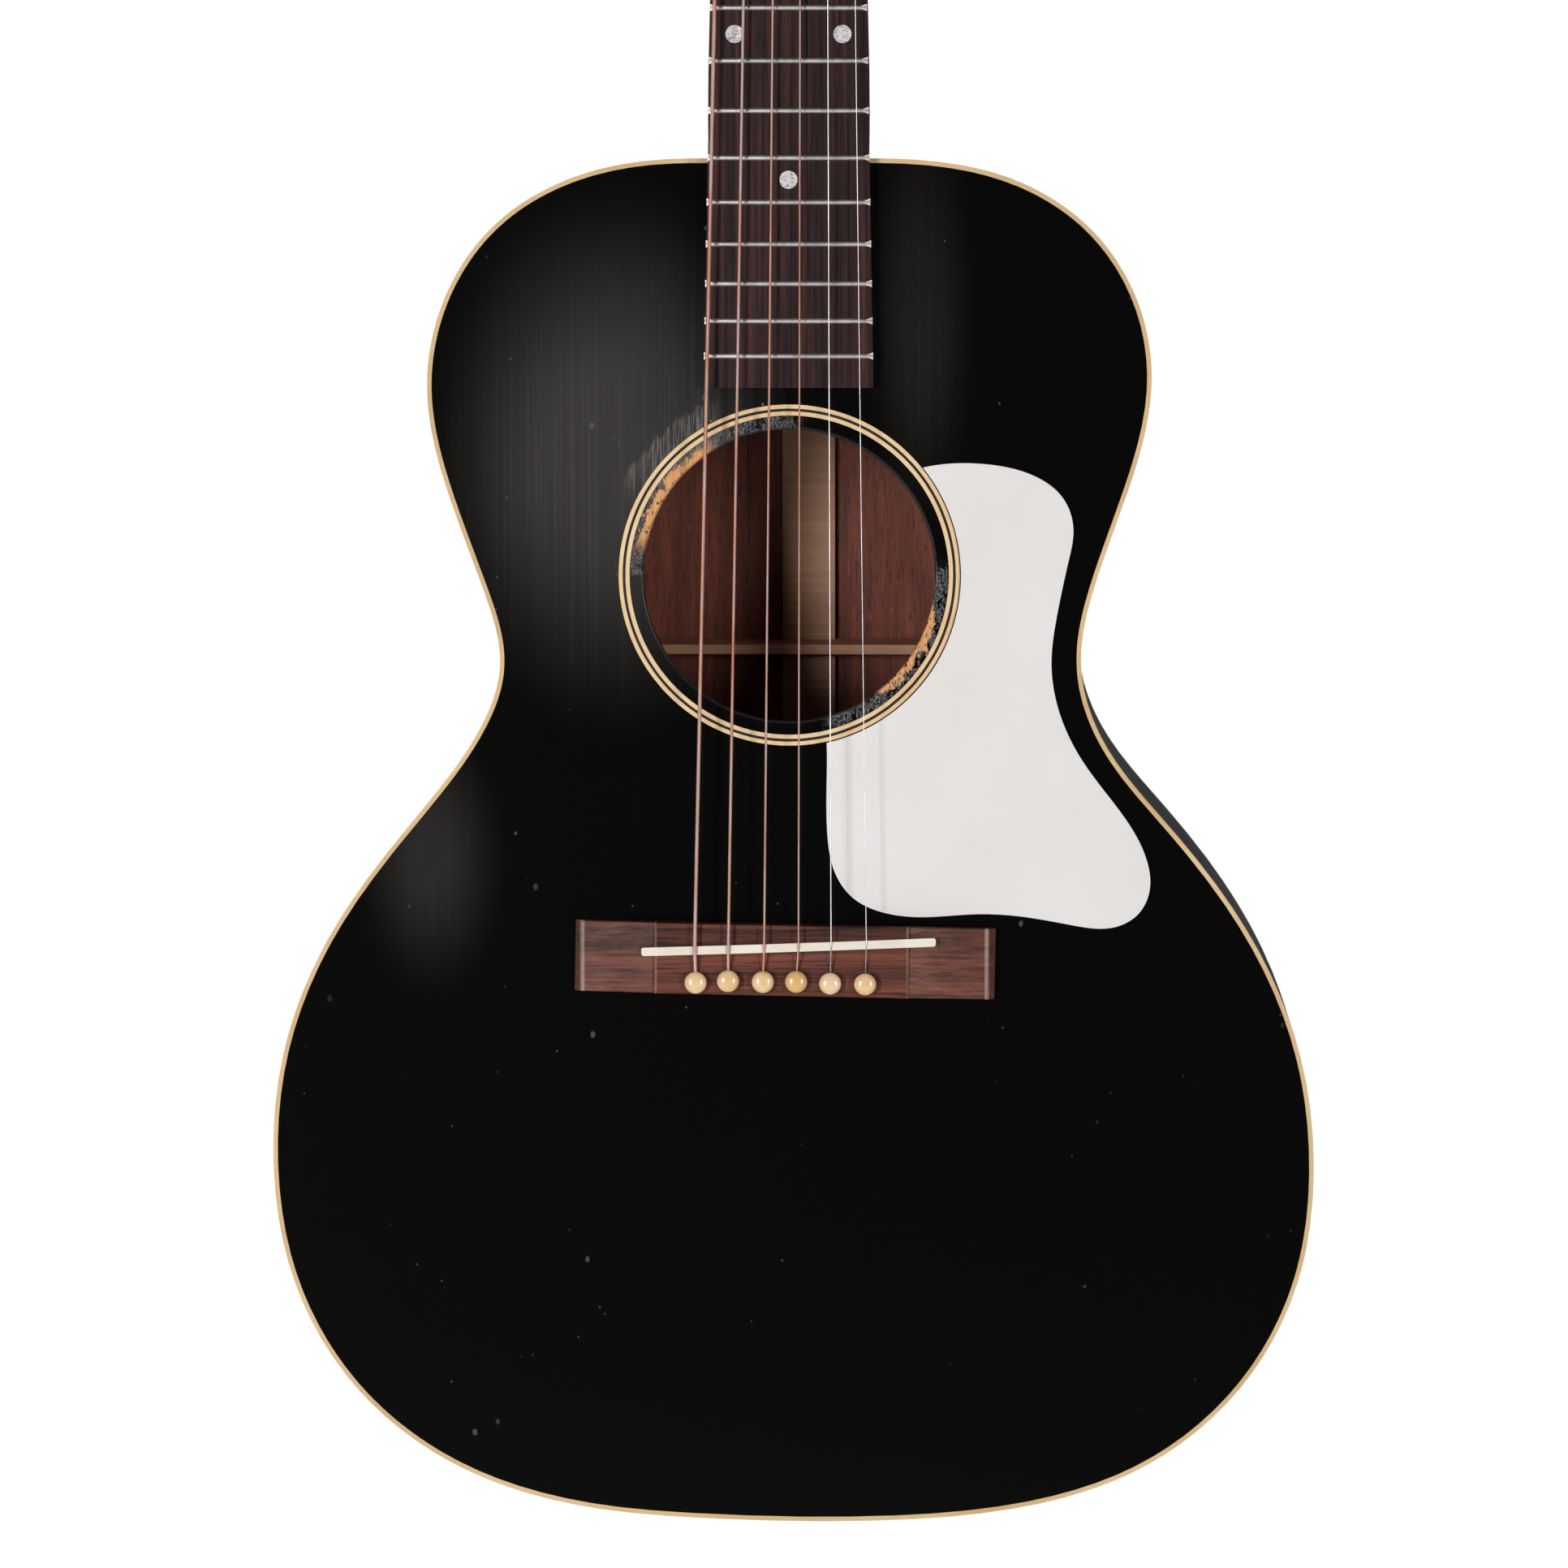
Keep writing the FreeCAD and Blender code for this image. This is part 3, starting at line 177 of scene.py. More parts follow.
    def finish(self, colour, roughness, normal=None, **constants):
        """Set the surface; constants are Principled sockets by name."""
        self.feed(self.bsdf.inputs["Base Color"], opaque(colour))
        self.feed(self.bsdf.inputs["Roughness"], roughness)
        if normal:
            self.feed(self.bsdf.inputs["Normal"], normal)
        for name, value in constants.items():
            self.bsdf.inputs[name.replace("_", " ")].default_value = value
        return self.material


def paint(material, *names):
    """Give CAD nodes a material."""
    for name in names:
        mesh = nodes[name].data
        mesh.materials.clear()
        mesh.materials.append(material)


def polar(shader, x, z):
    """Distance from the sound hole's axis, and the angle round it in radians, 0 at +X."""
    dx = shader.minus(x, HOLE.x)
    dz = shader.minus(z, HOLE.z)
    square = shader.plus(shader.times(dx, dx), shader.times(dz, dz))
    return shader.math("SQRT", square), shader.math("ARCTAN2", dz, dx)


def around(shader, angle, middle, half, soft):
    """1 where the angle is within half of middle, in degrees, fading over soft."""
    off = shader.math("ABSOLUTE", shader.minus(angle, math.radians(middle)))
    return shader.step(off, math.radians(half + soft), math.radians(half - soft))


def spot(shader, x, z, place, size, soft):
    """1 at a place on the front, falling to 0 over an ellipse of that size."""
    dx = shader.math("DIVIDE", shader.minus(x, place[0]), size[0])
    dz = shader.math("DIVIDE", shader.minus(z, place[1]), size[1])
    square = shader.plus(shader.times(dx, dx), shader.times(dz, dz))
    return shader.step(shader.math("SQRT", square), 1.0, 1.0 - soft)


# ------------------------------------------------------------------ materials

def top_lacquer():
    """Aged black lacquer over spruce: grain showing through, dings, wear round the hole, a painted sheen,
    and a painted highlight ring at the hole's edge.
    """
    s = Shader("top_lacquer")
    x, y, z = s.axes()
    r, angle = polar(s, x, z)
    grain = s.noise(s.stretched((900, 40, 5)), detail=5, rough=0.7)
    fine = s.noise(s.stretched((2600, 100, 18)), detail=3, rough=0.6)
    streak = s.step(grain, 0.42, 0.72)
    # Painted sheen: lighter grey-brown patches where the lacquer would reflect the lights, on the upper
    # bass bout, the treble bout and the bass waist; haze also makes these patches rougher.
    sheen = spot(s, x, z, (-0.062, -0.455), (0.072, 0.105), 0.85)
    sheen_unevenness = s.noise(s.stretched((14, 14, 9)), detail=3)
    treble_painted_sheen = s.times(spot(s, x, z, (0.047, -0.405), (0.022, 0.085), 0.9), 0.35)
    waist_painted_sheen = s.times(spot(s, x, z, (-0.128, -0.598), (0.030, 0.055), 0.9), 0.45)
    sheen = s.plus(s.plus(sheen, treble_painted_sheen), waist_painted_sheen)
    haze = s.times(sheen, s.blend(sheen_unevenness, 0.55, 1.2), clamp=True)
    painted_sheen_amount = s.times(haze, s.blend(streak, 0.55, 1.0))
    black = s.mix(painted_sheen_amount, (0.0014, 0.0013, 0.0012), (0.046, 0.040, 0.037))
    # Fine grain lines, painted lighter where they show inside the painted sheen.
    sheen_grain_lines = s.times(s.step(fine, 0.55, 0.8), s.blend(haze, 0.10, 0.4))
    black = s.mix(sheen_grain_lines, black, (0.018, 0.016, 0.015))

    speck_gap = s.cells(s.stretched((170, 170, 140)))
    near = s.step(speck_gap, 0.075, 0.035)
    crowd = s.plus(s.noise(s.stretched((61, 61, 61)), detail=1), s.times(haze, 0.07))
    chance = s.step(crowd, 0.57, 0.64)
    specks = s.times(near, chance)
    ding_gap = s.cells(s.stretched((62, 62, 44), turn=(0, 0.5, 0)))
    ragged_gap = s.plus(ding_gap, s.blend(s.noise(s.stretched((900, 300, 700)), detail=4), -0.03, 0.03))
    ding_chance = s.step(s.noise(s.stretched((23, 23, 23)), detail=1), 0.50, 0.56)
    dings = s.times(s.step(ragged_gap, 0.062, 0.045), ding_chance)
    marks = s.larger(specks, dings)
    colour = s.mix(s.times(marks, 0.5), black, (0.13, 0.13, 0.12))

    scratch_field = s.noise(s.stretched((1500, 60, 55)), detail=7, rough=0.85)
    scuff_reach = s.blend(s.noise(s.stretched((330, 30, 60)), detail=4), 0.0, 0.011)
    scuff_band = s.times(around(s, angle, 133, 17, 7), s.step(s.minus(r, scuff_reach), 0.0632, 0.0612))
    scuffs = s.times(scuff_band, s.step(scratch_field, 0.46, 0.60))
    colour = s.mix(s.times(scuffs, 0.75), colour, (0.23, 0.21, 0.20))

    ragged = s.noise(s.stretched((620, 100, 300)), detail=8, rough=0.78)
    broad = s.noise(s.stretched((170, 60, 170)), detail=2)
    jag = s.plus(s.blend(ragged, -0.0060, 0.0060), s.blend(broad, -0.0045, 0.0045))
    edge = s.plus(r, jag)
    upper = s.times(around(s, angle, 145, 23, 5), s.step(edge, 0.0556, 0.0551))
    lower_r = s.blend(around(s, angle, -33, 20, 12), 0.0500, 0.0546)
    lower = s.step(s.minus(edge, lower_r), 0.0003, -0.0002)
    wear = s.larger(upper, s.times(lower, around(s, angle, -31, 27, 4)), clamp=True)
    pits_gap = s.cells(s.stretched((820, 300, 520)))
    pits = s.times(s.step(pits_gap, 0.40, 0.30), s.step(ragged, 0.47, 0.53))
    wear = s.times(wear, s.minus(1.0, pits))
    bare_grain = s.noise(s.stretched((1500, 200, 60)), detail=4)
    bare = s.ramp(bare_grain, [(0.25, (0.50, 0.20, 0.07)), (0.55, (0.74, 0.36, 0.14)),
                               (0.8, (0.84, 0.46, 0.21))])

    crumb = s.noise(s.stretched((1500, 400, 900)), detail=9, rough=0.9)
    patch = s.noise(s.stretched((260, 100, 200)), detail=3, rough=0.7)
    chip_zone_upper = s.times(around(s, angle, 140, 50, 9), s.step(edge, 0.0592, 0.0572))
    chip_zone_lower = s.times(around(s, angle, -36, 36, 8), s.step(edge, 0.0585, 0.0560))
    chip_zone = s.larger(chip_zone_upper, chip_zone_lower)
    chips = s.times(chip_zone, s.times(s.step(crumb, 0.50, 0.56), s.step(patch, 0.42, 0.52)))
    colour = s.mix(s.times(chips, 0.9), colour, (0.21, 0.215, 0.22))
    flake_gap = s.cells(s.stretched((420, 200, 420)))
    flake_zone = s.times(around(s, angle, 165, 75, 12), s.step(r, 0.0626, 0.0612))
    flake_shape = s.times(s.step(flake_gap, 0.30, 0.20), s.step(ragged, 0.5, 0.56))
    flakes = s.times(flake_zone, flake_shape)
    colour = s.mix(s.times(flakes, 0.7), colour, (0.42, 0.28, 0.17))
    # Painted highlight: a faint grey ring on the rounded edge of the sound hole.
    painted_edge_highlight = s.times(s.step(r, 0.0532, 0.0526), s.step(y, 0.0012, 0.0008))
    colour = s.mix(s.times(painted_edge_highlight, 0.5), colour, (0.030, 0.031, 0.033))
    colour = s.mix(wear, colour, bare)

    raw = s.ramp(bare_grain, [(0.3, (0.33, 0.17, 0.08)), (0.7, (0.47, 0.27, 0.14))])
    colour = s.mix(s.step(y, 0.0026, 0.00275), colour, raw)

    rough = s.blend(haze, 0.17, 0.46)
    rough = s.plus(rough, s.times(s.larger(wear, scuffs), 0.35), clamp=True)
    height = s.plus(s.times(grain, 0.5), s.times(fine, 0.25))
    height = s.minus(height, s.times(marks, 0.8))
    height = s.minus(height, s.times(s.larger(wear, chips), 1.6))
    normal = s.bump(height, 0.3, 0.00010)
    return s.finish(colour, rough, normal, Specular_IOR_Level=0.32)


def inside_wood(s):
    """Bare mahogany of the back and sides as seen through the sound hole: colour and height."""
    figure = s.noise(s.stretched((260, 260, 7)), detail=7, rough=0.66, distort=0.35)
    pores = s.step(s.noise(s.stretched((1500, 1500, 150)), detail=2), 0.56, 0.66)
    flecks = s.step(s.noise(s.stretched((1100, 1100, 260)), detail=2), 0.62, 0.74)
    colour = s.ramp(figure, [(0.3, (0.105, 0.020, 0.009)), (0.5, (0.20, 0.044, 0.021)),
                             (0.7, (0.29, 0.075, 0.038))])
    colour = s.mix(s.times(pores, 0.65), colour, (0.035, 0.008, 0.005))
    colour = s.mix(s.times(flecks, 0.5), colour, (0.36, 0.13, 0.08))
    return colour, s.minus(figure, pores)


def body_lacquer(name, through_depth):
    """Glossy black lacquer outside, bare mahogany inside."""
    s = Shader(name)
    x, _, z = s.axes()
    peel = s.noise(s.coords, scale=240, detail=2)
    grain = s.noise(s.stretched((300, 300, 9)), detail=5, rough=0.65)
    haze = s.noise(s.coords, scale=9, detail=3)
    colour = s.mix(s.step(grain, 0.5, 0.75), (0.0055, 0.0055, 0.006), (0.013, 0.011, 0.011))
    speck_gap = s.cells(s.coords, scale=130)
    speck_chance = s.step(s.noise(s.coords, scale=47, detail=1), 0.6, 0.66)
    specks = s.times(s.step(speck_gap, 0.08, 0.03), speck_chance)
    colour = s.mix(s.times(specks, 0.5), colour, (0.15, 0.14, 0.13))
    rub_place = s.noise(s.stretched((12, 12, 30)), detail=5, rough=0.7)
    rub_lines = s.noise(s.stretched((500, 500, 40)), detail=4, rough=0.7)
    rub = s.times(s.step(rub_place, 0.60, 0.72), s.step(rub_lines, 0.5, 0.62))
    colour = s.mix(s.times(rub, 0.45), colour, (0.09, 0.08, 0.075))
    depth_way, out_way = s.outward(x, z)
    inside = s.step(depth_way, 0.0, -0.3) if through_depth else s.step(out_way, 0.0, -0.004)
    wood_colour, wood_height = inside_wood(s)
    colour = s.mix(inside, colour, wood_colour)
    height = s.plus(peel, s.times(grain, 0.4))
    height = s.blend(inside, s.times(height, 0.6), s.times(wood_height, 1.4))
    rough = s.blend(inside, s.plus(s.blend(haze, 0.16, 0.34), s.times(rub, 0.2)), 0.62)
    return s.finish(colour, rough, s.bump(height, 0.2, 0.0002))


def cream_strip():
    """Aged celluloid binding: amber cream with faint drift and hairline marks."""
    s = Shader("cream_strip")
    drift = s.noise(s.coords, scale=22, detail=3)
    lines = s.noise(s.coords, scale=420, detail=3, rough=0.7)
    colour = s.ramp(drift, [(0.3, (0.62, 0.41, 0.19)), (0.55, (0.72, 0.50, 0.26)),
                            (0.75, (0.78, 0.57, 0.33))])
    colour = s.mix(s.times(s.step(lines, 0.60, 0.78), 0.5), colour, (0.36, 0.22, 0.10))
    return s.finish(colour, s.blend(lines, 0.28, 0.42), s.bump(lines, 0.15, 0.0002), Coat_Weight=0.3)


DARK_RING_IN = 0.0584
DARK_RING_OUT = 0.05942
RING_SOFT = 0.00004


def rosette_rings():
    """Cream, black and cream rings, told apart by their distance from the hole's axis."""
    s = Shader("rosette_rings")
    x, _, z = s.axes()
    r = polar(s, x, z)[0]
    wobble = s.blend(s.noise(s.coords, scale=300, detail=2), -0.00008, 0.00008)
    r = s.plus(r, wobble)
    drift = s.noise(s.coords, scale=60, detail=3)
    cream = s.ramp(drift, [(0.3, (0.80, 0.53, 0.27)), (0.7, (0.90, 0.67, 0.40))])
    dark = s.times(s.step(r, DARK_RING_IN - RING_SOFT, DARK_RING_IN + RING_SOFT),
                   s.step(r, DARK_RING_OUT + RING_SOFT, DARK_RING_OUT - RING_SOFT))
    colour = s.mix(dark, cream, (0.012, 0.010, 0.009))
    seam = s.larger(s.step(r, 0.05703, 0.05696), s.step(r, 0.06076, 0.06084))
    colour = s.mix(s.times(seam, 0.8), colour, (0.10, 0.055, 0.03))
    fine = s.noise(s.coords, scale=900, detail=3)
    colour = s.mix(s.times(s.step(fine, 0.62, 0.8), 0.35), colour, (0.40, 0.24, 0.12))
    return s.finish(colour, 0.36, s.bump(fine, 0.15, 0.0001), Coat_Weight=0.2)


def guard_plastic():
    """Cool off-white pickguard, faintly scuffed."""
    s = Shader("guard_plastic")
    y = s.axes()[1]
    cloud = s.noise(s.coords, scale=26, detail=4)
    swirl = s.noise(s.stretched((300, 50, 60), turn=(0, 0.6, 0)), detail=4, rough=0.7)
    colour = s.ramp(cloud, [(0.3, (0.795, 0.765, 0.75)), (0.7, (0.83, 0.805, 0.795))])
    colour = s.mix(s.step(y, -0.00105, -0.0008), colour, (0.36, 0.27, 0.26))
    rough = s.blend(s.step(swirl, 0.45, 0.75), 0.30, 0.36)
    return s.finish(colour, rough, s.bump(swirl, 0.02, 0.0001), Coat_Weight=0.1)


def beside(shader, x, place, wide, slim):
    """1 within slim of a place across the bridge, 0 beyond wide."""
    return shader.step(shader.math("ABSOLUTE", shader.minus(x, place)), wide, slim)


def sanded_wings(s, x, colour):
    """The bridge's colour with dusty wings and pale worn edges."""
    treble = s.step(x, 0.0428, 0.0432)
    wing = s.larger(treble, s.times(s.step(x, -0.0472, -0.0478), 0.55))
    ends = s.larger(s.step(x, 0.0704, 0.0712), s.step(x, -0.0732, -0.0740))
    worn_edge = s.larger(beside(s, x, 0.0708, 0.0011, 0.0003), beside(s, x, -0.0737, 0.0011, 0.0003))
    step_edge = s.larger(beside(s, x, 0.0426, 0.0006, 0.0002), beside(s, x, -0.0474, 0.0006, 0.0002))
    pale = s.noise(s.stretched((90, 300, 500)), detail=6, rough=0.75)
    near_step = s.step(x, 0.060, 0.044)
    film = s.times(wing, s.blend(s.step(pale, 0.42, 0.62), 0.10, 0.45))
    colour = s.mix(s.times(film, s.blend(near_step, 0.45, 1.0)), colour, (0.27, 0.155, 0.125))
    colour = s.mix(s.times(ends, 0.35), colour, (0.05, 0.028, 0.024))
    colour = s.mix(s.times(worn_edge, s.blend(pale, 0.2, 1.0)), colour, (0.44, 0.34, 0.30))
    return s.mix(s.times(step_edge, s.blend(pale, 0.2, 0.9)), colour, (0.34, 0.22, 0.18))


def rosewood(name, stretch, stops, pore_scale, rough=(0.42, 0.6), gloss=0.25, sanded=False):
    """Oiled rosewood with dark figure and open pores along its grain."""
    s = Shader(name)
    x = s.axes()[0]
    warp = s.noise(s.stretched(tuple(v * 0.35 for v in stretch)), detail=3, distort=0.6)
    figure = s.noise(s.stretched(stretch), detail=8, rough=0.72, distort=1.4)
    tone = s.plus(s.times(figure, 0.7), s.times(warp, 0.3))
    colour = s.ramp(tone, stops)
    pores = s.noise(s.stretched(pore_scale), detail=2, rough=0.5)
    pits = s.step(pores, 0.60, 0.72)
    colour = s.mix(s.times(pits, 0.7), colour, faded(stops[0][1], 0.35))
    fleck = s.step(s.noise(s.stretched(tuple(v * 1.7 for v in pore_scale)), detail=2), 0.68, 0.8)
    colour = s.mix(s.times(fleck, 0.35), colour, faded(stops[-1][1], 1.6))
    if sanded:
        colour = sanded_wings(s, x, colour)
    height = s.minus(s.times(figure, 0.3), pits)
    return s.finish(colour, s.blend(figure, *rough), s.bump(height, 0.4, 0.00012), Specular_IOR_Level=gloss)


def bone(name, warm, pale):
    """Polished bone or ivory plastic with soft clouding."""
    s = Shader(name)
    cloud = s.noise(s.coords, scale=60, detail=4, distort=0.4)
    colour = s.ramp(cloud, [(0.3, warm), (0.7, pale)])
    pore = s.noise(s.stretched((3000, 3000, 900)), detail=2)
    colour = s.mix(s.times(s.step(pore, 0.62, 0.75), 0.25), colour, faded(warm, 0.6))
    return s.finish(colour, 0.24, s.bump(pore, 0.05, 0.00005), Subsurface_Weight=0.12,
                    Subsurface_Scale=0.002, Coat_Weight=0.35, Coat_Roughness=0.06)


def pin_ivory():
    """Bridge pins: each its own tint, cream to amber."""
    s = Shader("pin_ivory")
    x = s.axes()[0]
    cloud = s.noise(s.coords, scale=330, detail=4, distort=0.8)
    fourth = s.times(s.step(x, -0.0030, -0.0025), s.step(x, 0.0085, 0.0080))
    tint = s.noise(s.stretched((85, 0, 0)), detail=0)
    base = s.ramp(s.plus(s.times(cloud, 0.6), s.times(tint, 0.4)),
                  [(0.34, (0.80, 0.50, 0.23)), (0.5, (0.87, 0.60, 0.33)), (0.66, (0.90, 0.68, 0.44))])
    colour = s.mix(s.times(fourth, 0.75), base, (0.76, 0.44, 0.15))
    return s.finish(colour, 0.2, s.bump(cloud, 0.04, 0.0001), Subsurface_Weight=0.15,
                    Subsurface_Scale=0.0015, Coat_Weight=0.5, Coat_Roughness=0.05)


def metal(name, colour, rough):
    """Worn metal: brushed by noise, darker where tarnished."""
    s = Shader(name)
    brush = s.noise(s.coords, scale=300, detail=5, rough=0.7)
    stain = s.noise(s.coords, scale=60, detail=3)
    tone = s.mix(s.times(s.step(stain, 0.5, 0.75), 0.5), colour, faded(colour, 0.45))
    return s.finish(tone, s.blend(brush, *rough), s.bump(brush, 0.08, 0.0001), Metallic=1.0)


def veneer_lacquer():
    """Black lacquered headstock face, gently crazed."""
    s = Shader("veneer_lacquer")
    peel = s.noise(s.coords, scale=260, detail=2)
    haze = s.noise(s.coords, scale=14, detail=4)
    crack_gap = s.cells(s.stretched((140, 60, 30)))
    colour = s.mix(haze, (0.005, 0.005, 0.0055), (0.014, 0.012, 0.011))
    return s.finish(colour, s.blend(haze, 0.15, 0.32), s.bump(s.plus(peel, crack_gap), 0.1, 0.0002),
                    Coat_Weight=0.3, Coat_Roughness=0.08)


def fret_wire():
    """Nickel-silver frets, polished along the crown by the strings."""
    s = Shader("fret_wire")
    wear = s.noise(s.stretched((160, 160, 30)), detail=3)
    colour = s.ramp(wear, [(0.35, (0.60, 0.56, 0.53)), (0.65, (0.80, 0.76, 0.73))])
    return s.finish(colour, s.blend(wear, 0.36, 0.46), Metallic=1.0)


def plain_string():
    """Drawn steel string: smooth, slightly uneven in tone."""
    s = Shader("plain_string")
    tone = s.noise(s.stretched((20, 20, 60)), detail=3)
    colour = s.ramp(tone, [(0.35, (0.50, 0.51, 0.53)), (0.65, (0.72, 0.73, 0.76))])
    return s.finish(colour, s.blend(tone, 0.28, 0.4), Metallic=1.0)


def wound_string():
    """Bronze-wound string: fine wrap along its length, uneven shine."""
    s = Shader("wound_string")
    wave = s.tree.nodes.new("ShaderNodeTexWave")
    wave.bands_direction = "Z"
    wave.inputs["Scale"].default_value = 900.0
    s.feed(wave.inputs["Vector"], s.coords)
    wrap = wave.outputs["Fac"]
    drift = s.noise(s.stretched((40, 40, 26)), detail=4, rough=0.7)
    colour = s.ramp(drift, [(0.34, (0.72, 0.33, 0.21)), (0.46, (0.80, 0.44, 0.33)),
                            (0.58, (0.80, 0.56, 0.50)), (0.74, (0.74, 0.55, 0.52))])
    colour = s.mix(s.times(s.step(wrap, 0.35, 0.1), 0.35), colour, (0.24, 0.10, 0.07))
    return s.finish(colour, s.blend(drift, 0.42, 0.55), s.bump(wrap, 0.5, 0.00012), Metallic=0.8)


def pearl():
    """Mother-of-pearl dots: pale bands that shift in tone."""
    s = Shader("pearl")
    bands = s.noise(s.stretched((260, 160, 620), turn=(0, 0.8, 0)), detail=3, distort=2.2)
    colour = s.ramp(bands, [(0.36, (0.30, 0.28, 0.30)), (0.46, (0.60, 0.56, 0.58)),
                            (0.54, (0.86, 0.83, 0.83)), (0.62, (0.50, 0.49, 0.53))])
    return s.finish(colour, 0.2, s.bump(bands, 0.05, 0.0001), Coat_Weight=0.4)


def wood(name, dark, light, stretch, pores=True):
    """Plain timber with its grain along one axis."""
    s = Shader(name)
    figure = s.noise(s.stretched(stretch), detail=6, rough=0.6, distort=0.5)
    broad = s.noise(s.stretched(tuple(v * 0.12 for v in stretch)), detail=3)
    tone = s.plus(s.times(figure, 0.6), s.times(broad, 0.4))
    colour = s.ramp(tone, [(0.35, dark), (0.65, light)])
    height = figure
    if pores:
        pits = s.step(s.noise(s.stretched(tuple(v * 2.2 for v in stretch)), detail=2), 0.58, 0.72)
        colour = s.mix(s.times(pits, 0.6), colour, faded(dark, 0.35))
        height = s.minus(figure, pits)
    return s.finish(colour, s.blend(figure, 0.5, 0.7), s.bump(height, 0.3, 0.00015))


def neck_lacquer():
    """Dark mahogany under lacquer, bare and paler where the hand wears it, with a black heel cap."""
    s = Shader("neck_lacquer")
    _, y, z = s.axes()
    figure = s.noise(s.stretched((420, 380, 12)), detail=7, rough=0.66, distort=0.4)
    pores = s.step(s.noise(s.stretched((1500, 1500, 90)), detail=2), 0.57, 0.70)
    colour = s.ramp(figure, [(0.34, (0.028, 0.008, 0.005)), (0.52, (0.060, 0.019, 0.011)),
                             (0.7, (0.10, 0.034, 0.019))])
    colour = s.mix(s.times(pores, 0.7), colour, (0.008, 0.003, 0.002))
    hand = s.times(s.step(z, -0.20, -0.06), s.step(z, -0.005, -0.03))
    rub_place = s.noise(s.stretched((30, 30, 14)), detail=5, rough=0.7)
    rubbed = s.times(hand, s.step(rub_place, 0.46, 0.66))
    colour = s.mix(s.times(rubbed, 0.55), colour, (0.17, 0.070, 0.038))
    colour = s.mix(s.step(y, 0.0835, 0.0838), colour, (0.010, 0.009, 0.009))
    height = s.minus(figure, pores)
    return s.finish(colour, s.blend(rubbed, 0.30, 0.48), s.bump(height, 0.12, 0.00012), Coat_Weight=0.25,
                    Coat_Roughness=0.15)


def plastic(name, colour, rough):
    """Moulded plastic with faint surface texture."""
    s = Shader(name)
    fine = s.noise(s.coords, scale=700, detail=3)
    cloud = s.noise(s.coords, scale=50, detail=3)
    tone = s.mix(s.times(cloud, 0.35), colour, faded(colour, 0.75))
    return s.finish(tone, s.blend(fine, rough, rough + 0.12), s.bump(fine, 0.05, 0.0001), Coat_Weight=0.2)


def paint_all():
    """Give every CAD node its material."""
    rosewood_stops = [(0.36, (0.012, 0.004, 0.003)), (0.46, (0.070, 0.018, 0.011)),
                      (0.56, (0.155, 0.042, 0.025)), (0.68, (0.24, 0.080, 0.050))]
    board_stops = [(0.36, (0.006, 0.003, 0.003)), (0.46, (0.024, 0.011, 0.011)),
                   (0.56, (0.052, 0.021, 0.021)), (0.68, (0.100, 0.030, 0.027))]
    nickel = metal("nickel", (0.76, 0.73, 0.68), (0.18, 0.36))
    steel = metal("steel", (0.62, 0.62, 0.63), (0.22, 0.4))
    brass = metal("brass", (0.72, 0.52, 0.24), (0.2, 0.4))
    sides = body_lacquer("side_lacquer", False)
    mahogany = wood("mahogany", (0.085, 0.020, 0.012), (0.21, 0.062, 0.038), (420, 300, 14))
    spruce = wood("spruce_bars", (0.46, 0.22, 0.12), (0.64, 0.345, 0.21), (14, 500, 500), pores=False)
    paint(top_lacquer(), "soundboard")
    paint(sides, "bass_side", "treble_side")
    paint(body_lacquer("back_lacquer", True), "back")
    paint(veneer_lacquer(), "headstock_veneer")
    paint(cream_strip(), "binding")
    paint(rosette_rings(), "rosette")
    paint(guard_plastic(), "pickguard")
    bridge_wood = rosewood("bridge_rosewood", (9, 200, 330), rosewood_stops, (60, 900, 2600), sanded=True)
    board_wood = rosewood("board_rosewood", (420, 200, 8), board_stops, (2600, 900, 90), (0.45, 0.62), 0.12)
    paint(bridge_wood, "bridge")
    paint(board_wood, "fretboard")
    paint(bone("saddle_bone", (0.84, 0.73, 0.59), (0.92, 0.85, 0.75)), "saddle", "nut")
    paint(pin_ivory(), "bridge_pins", "end_pin")
    paint(fret_wire(), "frets")
    paint(nickel, "tuner_plate_bass", "tuner_plate_treble", "tuner_bushings", "headstock_screws")
    paint(pearl(), "position_dots")
    paint(neck_lacquer(), "neck")
    paint(mahogany, "neck_block", "tail_block", "linings")
    paint(spruce, "top_braces", "back_braces")
    maple = wood("maple_plate", (0.50, 0.34, 0.19), (0.66, 0.49, 0.31), (14, 500, 500), pores=False)
    paint(maple, "bridge_plate")
    paint(steel, "truss_rod")
    paint(brass, "truss_rod_nut")
    paint(plastic("cover_plastic", (0.012, 0.012, 0.012), 0.16), "truss_rod_cover")
    cream = plastic("button_cream", (0.74, 0.60, 0.38), 0.22)
    bronze, plain = wound_string(), plain_string()
    for number in range(1, STRINGS + 1):
        paint(bronze if number > PLAIN_STRINGS else plain, f"string_{number}", f"post_winding_{number}")
        paint(steel, f"worm_shaft_{number}")
        paint(nickel, f"string_post_{number}")
        paint(cream, f"tuner_button_{number}")


# ----------------------------------------------------------- pieces made here

SCALE = 0.62865
FRETS = 19
NUT_HALF = 0.02225
BOARD_END_HALF = 0.0301
BOARD_END_Z = -0.4302
BOARD_T = 0.0064
CROWN_R = 0.3048
FRET_H = 0.0011
FACET_OUT = 0.00015
FACET_LONG = 0.0021
FACET_WIDE = 0.0013
FACET_SLIM = 0.0004
FACET_FOOT = 0.0004
FACET_TOP = 0.00095
FACET_COVER = 0.00012

TWIST_TURNS = 5
TWIST_STEPS = 12
TWIST_SIDES = 6
TWIST_LONG = 0.0032


def new_piece(name, mesh, material):
    """Turn a bmesh into a piece that rides on the guitar."""
    data = bpy.data.meshes.new(name)
    bmesh.ops.recalc_face_normals(mesh, faces=mesh.faces)
    mesh.to_mesh(data)
    mesh.free()
    piece = bpy.data.objects.new(name, data)
    bpy.context.scene.collection.objects.link(piece)
    data.materials.append(material)
    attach(piece, "guitar")


